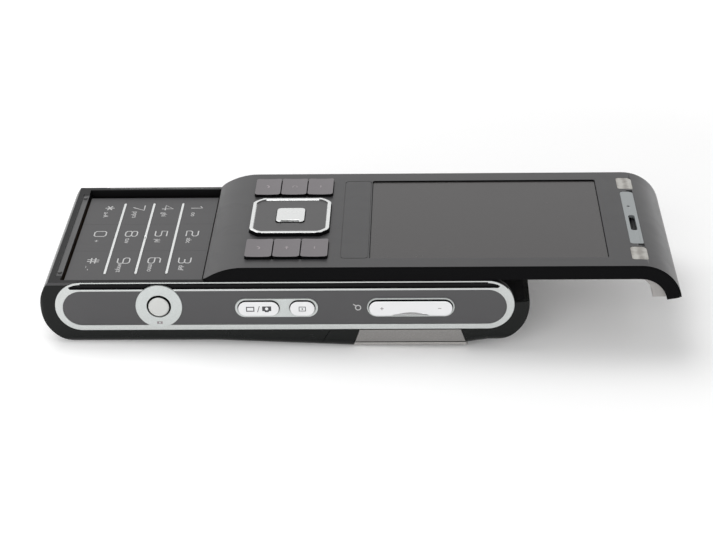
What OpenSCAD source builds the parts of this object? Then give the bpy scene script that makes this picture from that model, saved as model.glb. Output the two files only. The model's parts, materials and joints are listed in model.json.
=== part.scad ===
// Slider phone, lying on its back with the slider pushed open.
// +X runs towards the earpiece end, -Y is the side with the camera keys, +Z comes out of the screen.
// The base is drawn from x = 0 at its keypad end. The slider is drawn closed and then moved by travel.

/* [Case] */
// Length of the closed phone
base_len = 104; // [100:0.5:110]
// Width of the base
case_w = 49; // [47:0.5:52]
// Radius of the rounded ends, half the closed thickness
case_r = 8.9; // [8.6:0.1:9.4]
// Height that the camera bump stands out of the back
bump_h = 1.4; // [1:0.1:2]
// Thickness of the slider
slider_t = 3.15; // [3.05:0.05:3.4]
// Rounding of the lower long edges
edge_r = 2; // [1.6:0.1:2.6]
// Rounding of the upright corners
corner_r = 1.5; // [1:0.1:2]
// Wall of the battery cover and the camera housing
cover_t = 1.0; // [0.8:0.1:1.2]

/* [Slide] */
// How far the slider moves between closed and open
travel = 32; // [26:0.5:34]
// Step from the base's keypad end to the closed slider
slider_step = 3; // [2.5:0.5:4]
// How far the slider stands back from the base's sides
side_step = 0.3; // [0.2:0.05:0.6]
// Length of the sloped keypad end of the slider
slope_len = 8.6; // [7:0.1:10]
// Blunt thickness at the tip of that slope
tip_t = 0.3; // [0.2:0.1:0.6]
// Gap between the slider and the rails
slide_gap = 0.1; // [0.08:0.02:0.2]
// Width of each rail
rail_w = 1.4; // [1.3:0.1:1.8]
// Width of the slot that each slide leg runs in
slot_w = 2.1; // [2:0.1:2.4]
// Thickness of each slide leg
leg_t = 0.6; // [0.5:0.1:0.8]
// How far the open slide legs stay before the hook
leg_room = 5.1; // [5:0.1:8]
// How far a leg's foot reaches under its rail
foot_reach = 0.3; // [0.2:0.05:0.35]
// Thickness of a leg's foot
foot_t = 0.45; // [0.4:0.05:0.5]
// Running clearance round the feet and the lens cover
run_gap = 0.15; // [0.1:0.01:0.2]

/* [Hook] */
// Angle of the hook's tip above the level of its centre
tip_angle = 9; // [9:0.5:12]
// Angle of the shelf that the closed hook sits over
shelf_angle = 5; // [3:0.5:5]
// Thickness of the hook's side cheeks
cheek_t = 1.5; // [1.2:0.1:2]
// Radius of the liner inside the hook
liner_r = 4.6; // [4.4:0.1:4.8]
// How far the liner's centre lies before the hook's
liner_shift = 1.8; // [1.6:0.1:2]

/* [Side trim] */
// Thickness of the trim ring
trim_t = 0.5; // [0.4:0.05:0.6]
// Radius of the side panel's ends
panel_r = 3.98; // [3.8:0.02:4.1]
// How far the panel lies below the trim ring's centre
panel_drop = 0.47; // [0.4:0.01:0.55]
// How far the panel is sunk behind the trim ring
panel_sink = 0.1; // [0.05:0.05:0.15]
// Height of the thin bars above and below the trim's slot
trim_bar = 0.5; // [0.4:0.05:0.6]

/* [Side keys] */
// Distance of the shutter key from the keypad end
shutter_x = 25.4; // [24:0.1:28]
// Outer radius of the shutter key's ring
shutter_ring_r = 4.95; // [4.6:0.05:5.1]
// Radius of the hole for the shutter key
shutter_hole_r = 2.6; // [2.5:0.05:2.9]
// Radius of the shutter key
shutter_r = 2.25; // [2:0.05:2.3]
// How far the side keys' frames stand out of the trim ring
frame_proud = 0.12; // [0.08:0.02:0.2]
// How far the side keys stand out of their frames
side_key_proud = 0.5; // [0.4:0.05:0.6]
// Half the height of the frame round the camera and playback keys
frame_r = 2.15; // [2.1:0.05:2.3]
// Start of that frame
frame_x0 = 41.6; // [40:0.1:43]
// End of that frame
frame_x1 = 59.2; // [58:0.1:60]
// Half the height of the side keys
side_key_r = 1.7; // [1.6:0.05:1.75]
// Length of the camera key
mode_len = 8.7; // [8:0.1:9]
// Length of the playback key
play_len = 5.3; // [5:0.1:5.6]
// Start of the frame round the zoom key
zoom_x0 = 69.6; // [69:0.1:71]
// End of the frame round the zoom key
zoom_x1 = 88.1; // [87:0.1:89]
// Clearance round a side key
side_key_gap = 0.12; // [0.1:0.01:0.2]
// How far the camera and playback keys go in, and each end of the zoom key
side_press = 0.3; // [0.2:0.05:0.35]
// How far the shutter key goes in
shutter_press = 0.45; // [0.3:0.05:0.5]

/* [Keypad] */
// Edge of the keypad behind the end wall
pad_x0 = 4.5; // [4.2:0.1:5]
// Centre of the lowest row of keys
row_x0 = 9.9; // [9.8:0.05:10.2]
// Distance between rows
row_pitch = 6.65; // [6.4:0.05:6.8]
// How much wider the outer keys are than the middle ones
outer_extra = 0.525; // [0.2:0.025:1]
// How far the keypad lies below the rails
pad_drop = 1.15; // [1:0.05:1.3]
// Thickness of a keypad key
pad_key_t = 0.6; // [0.5:0.05:0.8]
// Gap between keypad keys
pad_gap = 0.06; // [0.06:0.01:0.12]
// Gap between the keypad and the lip at its end
lip_gap = 0.45; // [0.3:0.05:0.6]
// How far each keypad and front key goes down
key_press = 0.2; // [0.15:0.01:0.25]
// Width of the bright strips between rows
strip_w = 0.55; // [0.4:0.05:0.7]
// Distance from the strips' ends to the keypad's sides
strip_end = 3; // [2:0.1:4]
// Length of the nick in the middle strip
strip_nick = 0.7; // [0.5:0.1:1]
// Thickness of the dome boards
dome_board_t = 0.8; // [0.6:0.05:0.9]

/* [Slider front] */
// Thickness of the front plate
skin_t = 0.8; // [0.7:0.05:0.9]
// Thickness of the front plate's rim over the frame's edge
rim_t = 0.35; // [0.3:0.05:0.45]
// Width of that rim
rim_w = 0.7; // [0.5:0.05:0.9]
// Thickness of the cover under the slider
back_t = 0.5; // [0.4:0.05:0.6]
// Start of the display window, from the slider's keypad end
window_x0 = 35.2; // [35:0.1:36]
// Distance from the display window to the hooked end
window_end = 15.4; // [15:0.1:17]
// Distance from the display window to the slider's sides
window_side = 4.2; // [3.8:0.1:5]
// How far the display window is sunk below the front
window_sink = 0.3; // [0.2:0.05:0.35]
// Gap round the display window
window_gap = 0.12; // [0.08:0.01:0.15]
// Start of the blank name strip, from the slider's keypad end
label_x0 = 28.9; // [28.5:0.1:29.5]
// Length of the blank name strip
label_len = 6; // [5.5:0.1:6]
// Distance from the front's sides to that strip
label_side = 4.2; // [4:0.1:6]
// Thickness of the display
display_t = 1.55; // [1.4:0.05:1.55]

/* [Front keys] */
// Centre of the navigation key, from the slider's keypad end
nav_x = 17.4; // [17:0.1:18]
// Length of the navigation key
nav_len = 17.4; // [16.5:0.1:17.6]
// Width of the navigation key
nav_w = 18; // [17:0.1:18.4]
// Size of the navigation key's clipped corners
nav_cut = 1.9; // [1:0.1:2.6]
// Width of the navigation key's bright band
nav_band = 0.75; // [0.6:0.05:1]
// How far the navigation key stands out of the front
nav_proud = 0.9; // [0.7:0.05:1]
// Length of the select key
select_len = 6.2; // [6:0.1:7]
// Width of the select key
select_w = 7; // [6.5:0.1:7.5]
// Distance between the function keys
fn_pitch = 5.95; // [5.8:0.05:6]
// Length of a function key
fn_len = 5.7; // [5.4:0.05:5.7]
// Inner edge of the function keys, from the middle
fn_y0 = 11.6; // [11.3:0.1:12]
// Distance from the function keys to the slider's sides
fn_side = 4; // [3.6:0.1:5]
// How far the function keys stand out of the front
fn_proud = 0.7; // [0.5:0.05:0.8]
// Clearance round a front key
key_gap = 0.12; // [0.1:0.01:0.16]
// Width of the flange that holds a front key in
flange_w = 0.4; // [0.3:0.05:0.5]
// Thickness of that flange
flange_t = 0.3; // [0.25:0.05:0.35]

/* [Earpiece] */
// Distance from the start of the earpiece strip to the hooked end
ear_end = 10.2; // [10:0.1:11]
// Length of the earpiece strip along the phone
ear_len = 2.9; // [2.6:0.1:3]
// Distance from the earpiece strip to the sensor windows
ear_side = 1.6; // [1:0.1:2]
// Middle of the earpiece slot, across the phone
ear_slot_y = -2.9; // [-4:0.1:4]
// Width of the earpiece slot
ear_slot_w = 7.8; // [6:0.1:9]
// Distance from the sensor windows to the slider's sides
sensor_side = 3.2; // [3:0.1:4]
// Width of a sensor window
sensor_w = 6; // [5:0.1:6.4]
// Width of the ear speaker
ear_speaker_w = 13; // [11:0.5:14]

/* [Camera] */
// Distance from the camera bezel to the earpiece end
bezel_end = 12.9; // [12:0.1:14]
// Length of the camera bezel at the back
bezel_len = 24.8; // [24:0.1:25]
// How far each end of the bezel leans in towards the trim
bezel_lean = 1.6; // [1.2:0.1:2]
// Thickness of the bezel's back wall
bezel_t = 2; // [1.9:0.1:2.2]
// Thickness of the bezel's side wings
wing_t = 1; // [0.9:0.1:1.1]
// Length of the lens cover
lens_cover_len = 12; // [11.5:0.1:12.4]
// Width of the lens cover
lens_cover_w = 34; // [32:0.5:36]
// Thickness of the lens cover
lens_cover_t = 0.55; // [0.5:0.05:0.6]
// How far the lens cover slides
lens_cover_travel = 10.4; // [10:0.1:10.6]
// Distance of the lens from the end of the bezel
lens_back = 7.1; // [6.7:0.1:7.3]
// Distance of the lens from the middle
lens_y = 7; // [6:0.5:9]
// Radius of the lens glass
lens_r = 3.9; // [3.6:0.1:4]
// Distance of the flash from the middle, on the other side
flash_y = 7; // [6.5:0.5:9]
// Width and length of the flash unit
flash_s = 9.6; // [9:0.1:10]
// Length of the flash window
flash_len = 6.4; // [6:0.1:7]
// Width of the flash window
flash_w = 8.4; // [8:0.1:9]

/* [Inside] */
// Distance from the camera bezel to the seam beside it, at the trim
seam_gap = 4.5; // [3:0.1:6]
// Length of the battery
battery_len = 44; // [40:0.5:46]
// Room beside the battery, at each side
battery_side = 7.5; // [7:0.1:8.5]
// Thickness of the battery
battery_t = 5; // [4.5:0.1:5.2]
// Gap between the main board and the side connector
board_gap = 0.5; // [0.3:0.1:1.5]
// Thickness of the main board
board_t = 1; // [0.8:0.1:1.2]
// Width and length of the camera module
module_s = 13; // [12:0.1:13.4]
// Depth of the camera module
module_h = 7.5; // [7:0.1:7.8]
// Radius of the vibration motor
motor_r = 1.6; // [1.4:0.1:1.6]
// Length of the vibration motor
motor_len = 7; // [6:0.5:8]
// Length of the loudspeaker
speaker_len = 12; // [11:0.5:12.5]
// Gap between the loudspeaker and the vibration motor
speaker_gap = 1.9; // [0.5:0.1:2.5]
// Start of the side connector
connector_x0 = 26; // [24:0.5:28]
// Length of the side connector
connector_len = 22; // [20:0.5:24]
// Half the height of the side connector
connector_r = 1.4; // [1.2:0.05:1.6]
// Depth of the side connector
connector_depth = 6; // [5:0.1:6.2]
// Radius of a case screw's head
screw_head_r = 1.5; // [1.3:0.1:1.7]
// Radius of a case screw's thread
screw_r = 0.8; // [0.6:0.1:0.9]
// Gap between fixed pieces
fit = 0.05; // [0.04:0.01:0.08]

/* [Hidden] */
$fn = 64;

// Levels, from the back of the camera bump up
slab_z = bump_h;
mid_z = slab_z + case_r;
top_z = mid_z + case_r;
slider_z = top_z - slider_t;
rail_z = slider_z - slide_gap;
pad_z = rail_z - pad_drop;
dome_gap = key_press + 0.1;
pad_floor_z = pad_z - pad_key_t - dome_gap - dome_board_t;
deck_z = pad_floor_z + 1;
split_z = mid_z - 1.7;
cavity_z = pad_floor_z - 0.8;
lip_z = rail_z - 0.6;
// Places along the phone
end_x0 = case_r;
end_x1 = base_len - case_r;
home_x = -(base_len + travel) / 2;
slider_len = base_len - slider_step;
bezel_x1 = base_len - bezel_end;
bezel_x0 = bezel_x1 - bezel_len;
lens_x = bezel_x1 - lens_back;
cover_x1 = bezel_x1 - 1.3;
swell_x0 = bezel_x0 - 29;
seam_x = bezel_x0 - seam_gap;
seam_lean = 0.6;
row_xs = [for (row = [0:3]) row_x0 + row * row_pitch];
pad_x1 = row_xs[3] + row_pitch / 2 + 1.3;
// Widths
slider_w = case_w - 2 * side_step;
window_w = slider_w - 2 * window_side;
fn_w = slider_w / 2 - fn_side - fn_y0;
sensor_y0 = slider_w / 2 - sensor_side - sensor_w;
ear_w = 2 * (sensor_y0 - ear_side);
battery_w = case_w - 2 * battery_side;
board_w = case_w - 2 * (connector_depth + board_gap);
// Radii round the two end centres
hook_in_r = case_r - slider_t;
ring_r = hook_in_r - slide_gap;
backing_w = case_w - 2 * trim_t - 2 * fit;
liner_w = slider_w - 2 * cheek_t;
// The slide's slot, groove and legs
slot_y1 = case_w / 2 - rail_w;
slot_y0 = slot_y1 - slot_w;
foot_z = slider_z - 2.3;
leg_y1 = slot_y1 - 1;
leg_x0 = slider_step + 2;
leg_len = end_x1 - leg_room - travel - leg_x0;
groove_y = slot_y1 + foot_reach + run_gap;
motor_y = -slot_y0 + motor_r + 0.9;
// The keypad fills the space between the slots
pad_w = 2 * slot_y0;
col_pitch = (pad_w - 2 * outer_extra) / 3;
strip_len = pad_w - 2 * strip_end;
// The side keys
key_z = mid_z - panel_drop;
side_y = -case_w / 2;
bezel_y0 = side_y - frame_proud;
bezel_y1 = side_y + trim_t - fit;
key_y0 = bezel_y0 - side_key_proud;
key_y1 = key_y0 + 2.4;
mode_x0 = frame_x0 + frame_r - side_key_r + 0.2;
play_x0 = frame_x1 - frame_r + side_key_r - 0.2 - play_len;
rocker_x0 = zoom_x0 + frame_r - side_key_r;
rocker_len = zoom_x1 - zoom_x0 - 2 * (frame_r - side_key_r);
zoom_mid = (zoom_x0 + zoom_x1) / 2;
// The slider's front, measured from its keypad end
window_len = slider_len - window_end - window_x0;
ear_x0 = slider_len - ear_end;
key_room_x0 = nav_x - nav_len / 2 - 2.2;
fn_xs = [for (place = [-1:1]) slider_step + nav_x + place * fn_pitch];
waterfall_r = (pow(slope_len, 2) + pow(slider_t - tip_t, 2)) / (2 * (slider_t - tip_t));
waterfall_x = slider_step + slope_len;
plate_z = top_z - skin_t;
inner_z = slider_z + back_t + fit;
dome_z = plate_z - flange_t - dome_gap - fit;
back_x1 = end_x1 - liner_shift;
slide_plate_x1 = leg_x0 + leg_len + 1;
// The battery bay and the camera
bay_x0 = 9;
hollow_x0 = 6.5;
bay_w = battery_w + 0.4;
bay_len = battery_len + 0.4;
battery_z = slab_z + cover_t + 0.3;
window_z = 0.6;
pocket_z = window_z + 0.5;
bezel_z = mid_z - ring_r - fit - 0.1;
flash_depth = 3.5;
screw_xs = [bay_x0 + 6, seam_x - 11.8];
screw_y = battery_w / 2 + 3;

// ---------- shapes shared by several pieces ----------

// Stands a side view up across the phone, from y0 to y1
module across(y0, y1) {
  translate([0, y1, 0]) rotate([90, 0, 0]) linear_extrude(y1 - y0) children();
}

// Runs a cross-section along the phone, from x0 to x1
module along(x0, x1) {
  translate([x0, 0, 0]) rotate([90, 0, 90]) linear_extrude(x1 - x0) children();
}

module block(x0, x1, y0, y1, z0, z1) {
  translate([x0, y0, z0]) cube([x1 - x0, y1 - y0, z1 - z0]);
}

// A block of width w centred on the middle line
module bar_block(x0, x1, w, z0, z1) {
  block(x0, x1, -w / 2, w / 2, z0, z1);
}

module stadium(r, x0, x1, z) {
  translate([x0, z]) circle(r);
  translate([x1, z]) circle(r);
  translate([x0, z - r]) square([x1 - x0, 2 * r]);
}

module rounded_rect(x0, x1, y0, y1, r) {
  translate([x0 + r, y0]) square([x1 - x0 - 2 * r, y1 - y0]);
  translate([x0, y0 + r]) square([x1 - x0, y1 - y0 - 2 * r]);
  for (x = [x0 + r, x1 - r], y = [y0 + r, y1 - r])
    translate([x, y]) circle(r);
}

module rounded_block(x0, x1, y0, y1, z0, z1, r) {
  translate([0, 0, z0]) linear_extrude(z1 - z0) rounded_rect(x0, x1, y0, y1, r);
}

// A block with clipped upright corners, grown outwards all round
module clipped_block(x0, x1, y0, y1, z0, z1, cut, grow = 0) {
  c = cut + grow * (2 - sqrt(2));
  a = x0 - grow;
  b = x1 + grow;
  d = y0 - grow;
  e = y1 + grow;
  translate([0, 0, z0]) linear_extrude(z1 - z0)
    polygon([[a + c, d], [b - c, d], [b, d + c], [b, e - c], [b - c, e], [a + c, e], [a, e - c], [a, d + c]]);
}

// Cross-section with its two lower edges rounded, sunk inwards by inset
module keel_section(inset, z0, z1) {
  half = case_w / 2 - inset;
  r = edge_r - inset;
  translate([-half, z0 + inset + r]) square([2 * half, z1 - z0 - inset - r]);
  translate([r - half, z0 + inset]) square([2 * (half - r), r]);
  for (side = [-1, 1])
    translate([side * (half - r), z0 + inset + r]) circle(r);
}

// Lower body of the base: a slab with round ends that swells towards the camera bezel
module hull_body(inset = 0) {
  swell_angle = atan((slab_z - 0.08) / (bezel_x0 - swell_x0));
  tail_angle = 9;
  tail_z = 0.72;
  intersection() {
    union() {
      intersection() {
        across(-case_w, case_w) stadium(case_r - inset, end_x0, end_x1, mid_z);
        along(0, base_len) keel_section(inset, slab_z, rail_z);
      }
      intersection() {
        translate([swell_x0, 0, slab_z]) rotate([0, swell_angle, 0])
          along(-4, bezel_x0 - swell_x0 + 4) keel_section(inset, 0, 5);
        block(0, bezel_x0 + 3, -case_w, case_w, -1, mid_z);
      }
      intersection() {
        translate([bezel_x1, 0, tail_z]) rotate([0, -tail_angle, 0])
          along(-3, 7) keel_section(inset + 0.03, 0, 4);
        block(bezel_x1 - 3, end_x1 + 3, -case_w, case_w, -1, mid_z);
      }
    }
    rounded_block(inset - 0.3, base_len - inset + 0.3, inset - case_w / 2, case_w / 2 - inset,
      -1, top_z, corner_r);
  }
}

// Side view of the space that the closed hook fills, from lift above the shelf
module hook_space(keep_r, keep_x, keep_z, lift) {
  reach = 2 * case_r;
  difference() {
    polygon([
      [keep_x, mid_z + (keep_x - end_x1) * tan(shelf_angle) + lift],
      [end_x1 + reach, mid_z + reach * tan(shelf_angle) + lift],
      [end_x1 + reach, mid_z + reach],
      [keep_x, mid_z + reach]
    ]);
    translate([keep_x, keep_z]) circle(keep_r);
    translate([keep_x - keep_r, mid_z - keep_r]) square([2 * keep_r, keep_z - mid_z + keep_r]);
  }
}

// The hook's space across the cheeks, and the deeper space behind its liner
module hook_cut() {
  half = liner_w / 2 + run_gap;
  across(-case_w, case_w) hook_space(ring_r, end_x1, mid_z, 0);
  across(-half, half) hook_space(liner_r - run_gap, back_x1, slider_z - liner_r, 0.1);
}

// Outline of the trim ring and all that lies behind it
module ring_side(grow = 0) {
  stadium(ring_r + grow, end_x0, end_x1, mid_z);
}

module panel_side(grow = 0) {
  stadium(panel_r + grow, end_x0, end_x1, key_z);
}

// Side view of the slider, closed, with its outer faces sunk by inset
module slider_side(inset = 0) {
  intersection() {
    translate([slider_step, slider_z]) square([waterfall_x - slider_step, slider_t - inset]);
    translate([waterfall_x, top_z - waterfall_r]) circle(waterfall_r - inset, $fn = 200);
  }
  translate([waterfall_x, slider_z]) square([end_x1 - waterfall_x, slider_t - inset]);
  difference() {
    translate([end_x1, mid_z]) circle(case_r - inset);
    translate([end_x1, mid_z]) circle(hook_in_r);
    translate([end_x1 - 2 * case_r, mid_z - 2 * case_r]) square([2 * case_r, 4 * case_r]);
    polygon([
      [end_x1 - case_r, mid_z - case_r * tan(tip_angle)],
      [end_x1 + 2 * case_r, mid_z + 2 * case_r * tan(tip_angle)],
      [end_x1 + 2 * case_r, mid_z - 2 * case_r],
      [end_x1 - case_r, mid_z - 2 * case_r]
    ]);
  }
}

// Plan outline of the slider with its corners rounded
module slider_plan() {
  rounded_block(slider_step - 0.3, base_len + 0.3, -slider_w / 2, slider_w / 2,
    mid_z - case_r, top_z + 1, corner_r);
}

module on_base() {
  translate([home_x, 0, 0]) children();
}

module on_slider() {
  translate([home_x + travel, 0, 0]) children();
}

// ---------- base: housings ----------

module pad_pocket() {
  bar_block(pad_x0, pad_x1, pad_w + 0.2, pad_floor_z, top_z);
}

// Slot for a slide leg, with the groove for its foot under the rail
module slide_slots() {
  slot_x1 = travel + leg_x0 + leg_len + 1.2;
  for (side = [-1, 1]) {
    y0 = side > 0 ? slot_y0 : -slot_y1;
    g0 = side > 0 ? slot_y0 : -groove_y;
    block(pad_x0, slot_x1, y0, y0 + slot_w, pad_floor_z, top_z);
    block(pad_x0, slot_x1, g0, g0 + groove_y - slot_y0, foot_z - run_gap, foot_z + foot_t + run_gap);
  }
}

// Its lip over the keypad end has a step with a small stop near each corner
module main_housing() {
  lip_step = 0.3;
  lip_step_w = 1.3;
  color("#1b1b1d")
  difference() {
    union() {
      intersection() {
        hull_body(cover_t + fit);
        bar_block(0, base_len, case_w, split_z, rail_z);
      }
      intersection() {
        across(-backing_w / 2, backing_w / 2) ring_side(-fit);
        bar_block(0, base_len, case_w, split_z, rail_z);
      }
      intersection() {
        hull_body(0);
        difference() {
          bar_block(0, end_x0, case_w, lip_z, rail_z);
          across(backing_w / 2, case_w) ring_side(fit);
          across(-case_w, -backing_w / 2) ring_side(fit);
        }
      }
    }
    hook_cut();
    difference() {
      bar_block(pad_x0 - lip_step_w, pad_x0 + 1, pad_w, rail_z - lip_step, top_z);
      for (y = [-1, 1] * (pad_w / 2 - 2))
        translate([pad_x0 - lip_step_w / 2, y, mid_z]) cylinder(h = case_r, r = 0.45, $fn = 24);
    }
    pad_pocket();
    slide_slots();
    bar_block(pad_x1 - 1, slide_plate_x1 + travel + 3, 2 * slot_y0, deck_z, top_z);
    bar_block(hollow_x0, back_x1, 2 * slot_y0, split_z - 1, cavity_z);
    side_key_bores();
    connector_space(0.05);
  }
}

module rear_frame() {
  color("#2a2b2c")
  difference() {
    union() {
      intersection() {
        hull_body(cover_t + fit);
        bar_block(0, base_len, case_w, 0, split_z - fit);
      }
      intersection() {
        across(-backing_w / 2, backing_w / 2) ring_side(-fit);
        bar_block(0, base_len, case_w, 0, split_z - fit);
      }
    }
    bar_block(bay_x0, bay_x0 + bay_len, bay_w, -1, battery_z + battery_t + 0.3);
    bar_block(bezel_x0 - 1, bezel_x1 + 1, case_w + 2, -1, bezel_t + 0.3);
    camera_well(0.2);
    for (x = screw_xs, y = [-1, 1] * screw_y) {
      translate([x, y, -1]) cylinder(h = slab_z + cover_t + 1 + 1.4, r = screw_head_r + 0.2);
      translate([x, y, -1]) cylinder(h = split_z + 2, r = screw_r + 0.05);
    }
    side_key_bores();
    connector_space(0.05);
  }
}

module case_screws() {
  color("silver")
  for (x = screw_xs, y = [-1, 1] * screw_y)
    translate([x, y, slab_z + cover_t + 0.3]) {
      difference() {
        cylinder(h = 1, r = screw_head_r);
        translate([0, 0, -0.1]) cylinder(h = 0.7, r = screw_r * 0.8, $fn = 6);
      }
      translate([0, 0, 1]) cylinder(h = split_z - slab_z - cover_t - 1.6, r = screw_r);
    }
}

// Side view of what lies past the seam between the battery cover and the camera housing
module beyond_seam(gap) {
  low_x = seam_x - seam_lean * (mid_z - ring_r);
  polygon([
    [low_x + gap, 0],
    [base_len + 1, 0],
    [base_len + 1, top_z],
    [seam_x + gap, top_z],
    [seam_x + gap, mid_z - ring_r]
  ]);
}

// Side view of the bezel, a trapezium that leans in towards the trim
module bezel_side(grow) {
  polygon([
    [bezel_x0 - grow, -0.1],
    [bezel_x0 + bezel_lean - grow, bezel_z + grow],
    [bezel_x1 - bezel_lean + grow, bezel_z + grow],
    [bezel_x1 + grow, -0.1]
  ]);
}

module camera_housing() {
  color("#232524")
  difference() {
    intersection() {
      difference() {
        hull_body(0);
        hull_body(cover_t);
        across(-case_w, case_w) ring_side(fit);
      }
      across(-case_w, case_w) beyond_seam(fit);
    }
    hook_cut();
    across(-case_w, case_w) bezel_side(fit);
  }
}

// Side view of what lies before the seam, up to the lip over the keypad end
module before_seam(gap) {
  low_x = seam_x - seam_lean * (mid_z - ring_r);
  polygon([
    [-1, 0],
    [low_x - gap, 0],
    [seam_x - gap, mid_z - ring_r],
    [seam_x - gap, lip_z - fit],
    [-1, lip_z - fit]
  ]);
}

module battery_cover() {
  color("#232524")
  intersection() {
    difference() {
      hull_body(0);
      hull_body(cover_t);
      across(-case_w, case_w) ring_side(fit);
    }
    across(-case_w, case_w) before_seam(fit);
  }
}

// ---------- base: side trim, panels and side keys ----------

module side_trims() {
  slot_lean = 1.2;
  slot_low = key_z + panel_r + trim_bar;
  color("silver")
  for (side = [-1, 1])
    difference() {
      across(side > 0 ? case_w / 2 - trim_t : -case_w / 2, side > 0 ? case_w / 2 : trim_t - case_w / 2)
        difference() {
          ring_side();
          panel_side(fit);
          intersection() {
            ring_side(-trim_bar);
            polygon([
              [end_x0 - 3.4 + slot_lean, slot_low],
              [end_x0 - 3.4, rail_z],
              [end_x1 + 3.4, rail_z],
              [end_x1 + 3.4 - slot_lean, slot_low]
            ]);
          }
        }
      if (side < 0)
        across(-case_w, 0) translate([shutter_x, mid_z]) circle(shutter_ring_r + fit);
    }
}

module side_panels() {
  y0 = case_w / 2 - trim_t;
  y1 = case_w / 2 - panel_sink;
  color("#5b5a5c") {
    difference() {
      across(-y1, -y0) panel_side();
      across(-case_w, 0) translate([shutter_x, mid_z]) circle(shutter_ring_r + fit);
      across(-case_w, 0) stadium(frame_r + fit, frame_x0 + frame_r, frame_x1 - frame_r, key_z);
      across(-case_w, 0) stadium(frame_r + fit, zoom_x0 + frame_r, zoom_x1 - frame_r, key_z);
    }
    difference() {
      across(y0, y1) panel_side();
      connector_space(0.05);
    }
  }
}

// A key's outline in side view, from x0 over its length
module key_side(x0, len, grow = 0) {
  stadium(side_key_r + grow, x0 + side_key_r, x0 + len - side_key_r, key_z);
}

module shutter_ring() {
  dish_r = 14;
  color("#c9cdcb")
  difference() {
    across(bezel_y0, bezel_y1) translate([shutter_x, mid_z]) circle(shutter_ring_r);
    across(-case_w, 0) translate([shutter_x, mid_z]) circle(shutter_hole_r);
    translate([shutter_x, bezel_y0 + 0.2 - dish_r, mid_z]) sphere(dish_r);
  }
}

module key_bezel() {
  color("#c9cdcb")
  across(bezel_y0, bezel_y1) difference() {
    stadium(frame_r, frame_x0 + frame_r, frame_x1 - frame_r, key_z);
    key_side(mode_x0, mode_len, side_key_gap);
    key_side(play_x0, play_len, side_key_gap);
  }
}

module zoom_bezel() {
  color("#c9cdcb")
  across(bezel_y0, bezel_y1) difference() {
    stadium(frame_r, zoom_x0 + frame_r, zoom_x1 - frame_r, key_z);
    key_side(rocker_x0, rocker_len, side_key_gap + 0.05);
  }
}

module shutter_button() {
  color("#dfe2e0")
  translate([shutter_x, 0, mid_z]) rotate([90, 0, 0])
    translate([0, 0, -key_y1]) rotate_extrude() {
      polygon([
        [0, 0], [shutter_r, 0],
        [shutter_r, key_y1 - key_y0 - 0.3], [shutter_r - 0.3, key_y1 - key_y0],
        [0, key_y1 - key_y0]
      ]);
    }
}

module mode_key() {
  color("#dfe2e0") across(key_y0, key_y1) key_side(mode_x0, mode_len);
}

module playback_key() {
  color("#dfe2e0") across(key_y0, key_y1) key_side(play_x0, play_len);
}

// Rocks on an upright rib at its back, and has a shallow scoop in its lower edge
module zoom_rocker() {
  scoop_r = 9;
  rib_r = side_press + 0.3;
  rib_len = 2 * side_key_r - 0.4;
  color("#eef0ef")
  difference() {
    union() {
      across(key_y0, key_y1) key_side(rocker_x0, rocker_len);
      translate([zoom_mid, key_y1, key_z - rib_len / 2]) cylinder(h = rib_len, r = rib_r);
    }
    across(key_y0 - 1, key_y0 + 0.4)
      translate([zoom_mid, key_z - side_key_r - scoop_r + 0.6]) circle(scoop_r);
  }
}

// Rooms behind the side keys, with space to press and rock them
module side_key_bores() {
  room_y = key_y1 + side_press + 0.25;
  grow = side_key_gap;
  across(-case_w, room_y) key_side(mode_x0, mode_len, grow);
  across(-case_w, room_y) key_side(play_x0, play_len, grow);
  across(-case_w, room_y + 0.2) key_side(rocker_x0 - 0.1, rocker_len + 0.2, grow);
  across(-case_w, key_y1 + shutter_press + 0.25) translate([shutter_x, mid_z]) circle(shutter_r + grow);
}

// ---------- base: keypad ----------

// One key in column -1, 0 or 1 and row 0 to 3. The outer keys reach the keypad's edges.
module pad_key(col, row) {
  x0 = row == 0 ? pad_x0 + lip_gap : row_xs[row] - row_pitch / 2 + pad_gap / 2;
  x1 = row == 3 ? pad_x1 - pad_gap : row_xs[row] + row_pitch / 2 - pad_gap / 2;
  y0 = col == -1 ? -pad_w / 2 : (col - 0.5) * col_pitch + pad_gap / 2;
  y1 = col == 1 ? pad_w / 2 : (col + 0.5) * col_pitch - pad_gap / 2;
  color("#4b4a4d")
  difference() {
    block(x0, x1, y0, y1, pad_z - pad_key_t, pad_z);
    for (edge = [0:2])
      bar_block(strip_x(edge) - strip_w / 2 - pad_gap, strip_x(edge) + strip_w / 2 + pad_gap,
        strip_len + 2 * pad_gap, pad_z - pad_key_t - 1, top_z);
  }
}

function strip_x(edge) = row_x0 + (edge + 0.5) * row_pitch;

module keypad_strips() {
  proud = 0.05;
  color("silver")
  difference() {
    for (edge = [0:2])
      rounded_block(strip_x(edge) - strip_w / 2, strip_x(edge) + strip_w / 2, -strip_len / 2, strip_len / 2,
        pad_z - pad_key_t - dome_gap + fit, pad_z + proud, 0.4 * strip_w);
    bar_block(strip_x(1) - strip_w, strip_x(1) + strip_w, strip_nick, pad_z - 2 * proud, top_z);
  }
}

module keypad_board() {
  board_z1 = pad_floor_z + dome_board_t;
  color("#7a5a20") {
    bar_block(pad_x0 + 0.1, pad_x1 - 0.1, pad_w, pad_floor_z + fit, board_z1);
    for (x = row_xs, col = [-1:1])
      translate([x, col * col_pitch, board_z1]) cylinder(h = 0.04, r = 2.2);
  }
}

// ---------- base: inside ----------

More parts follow.
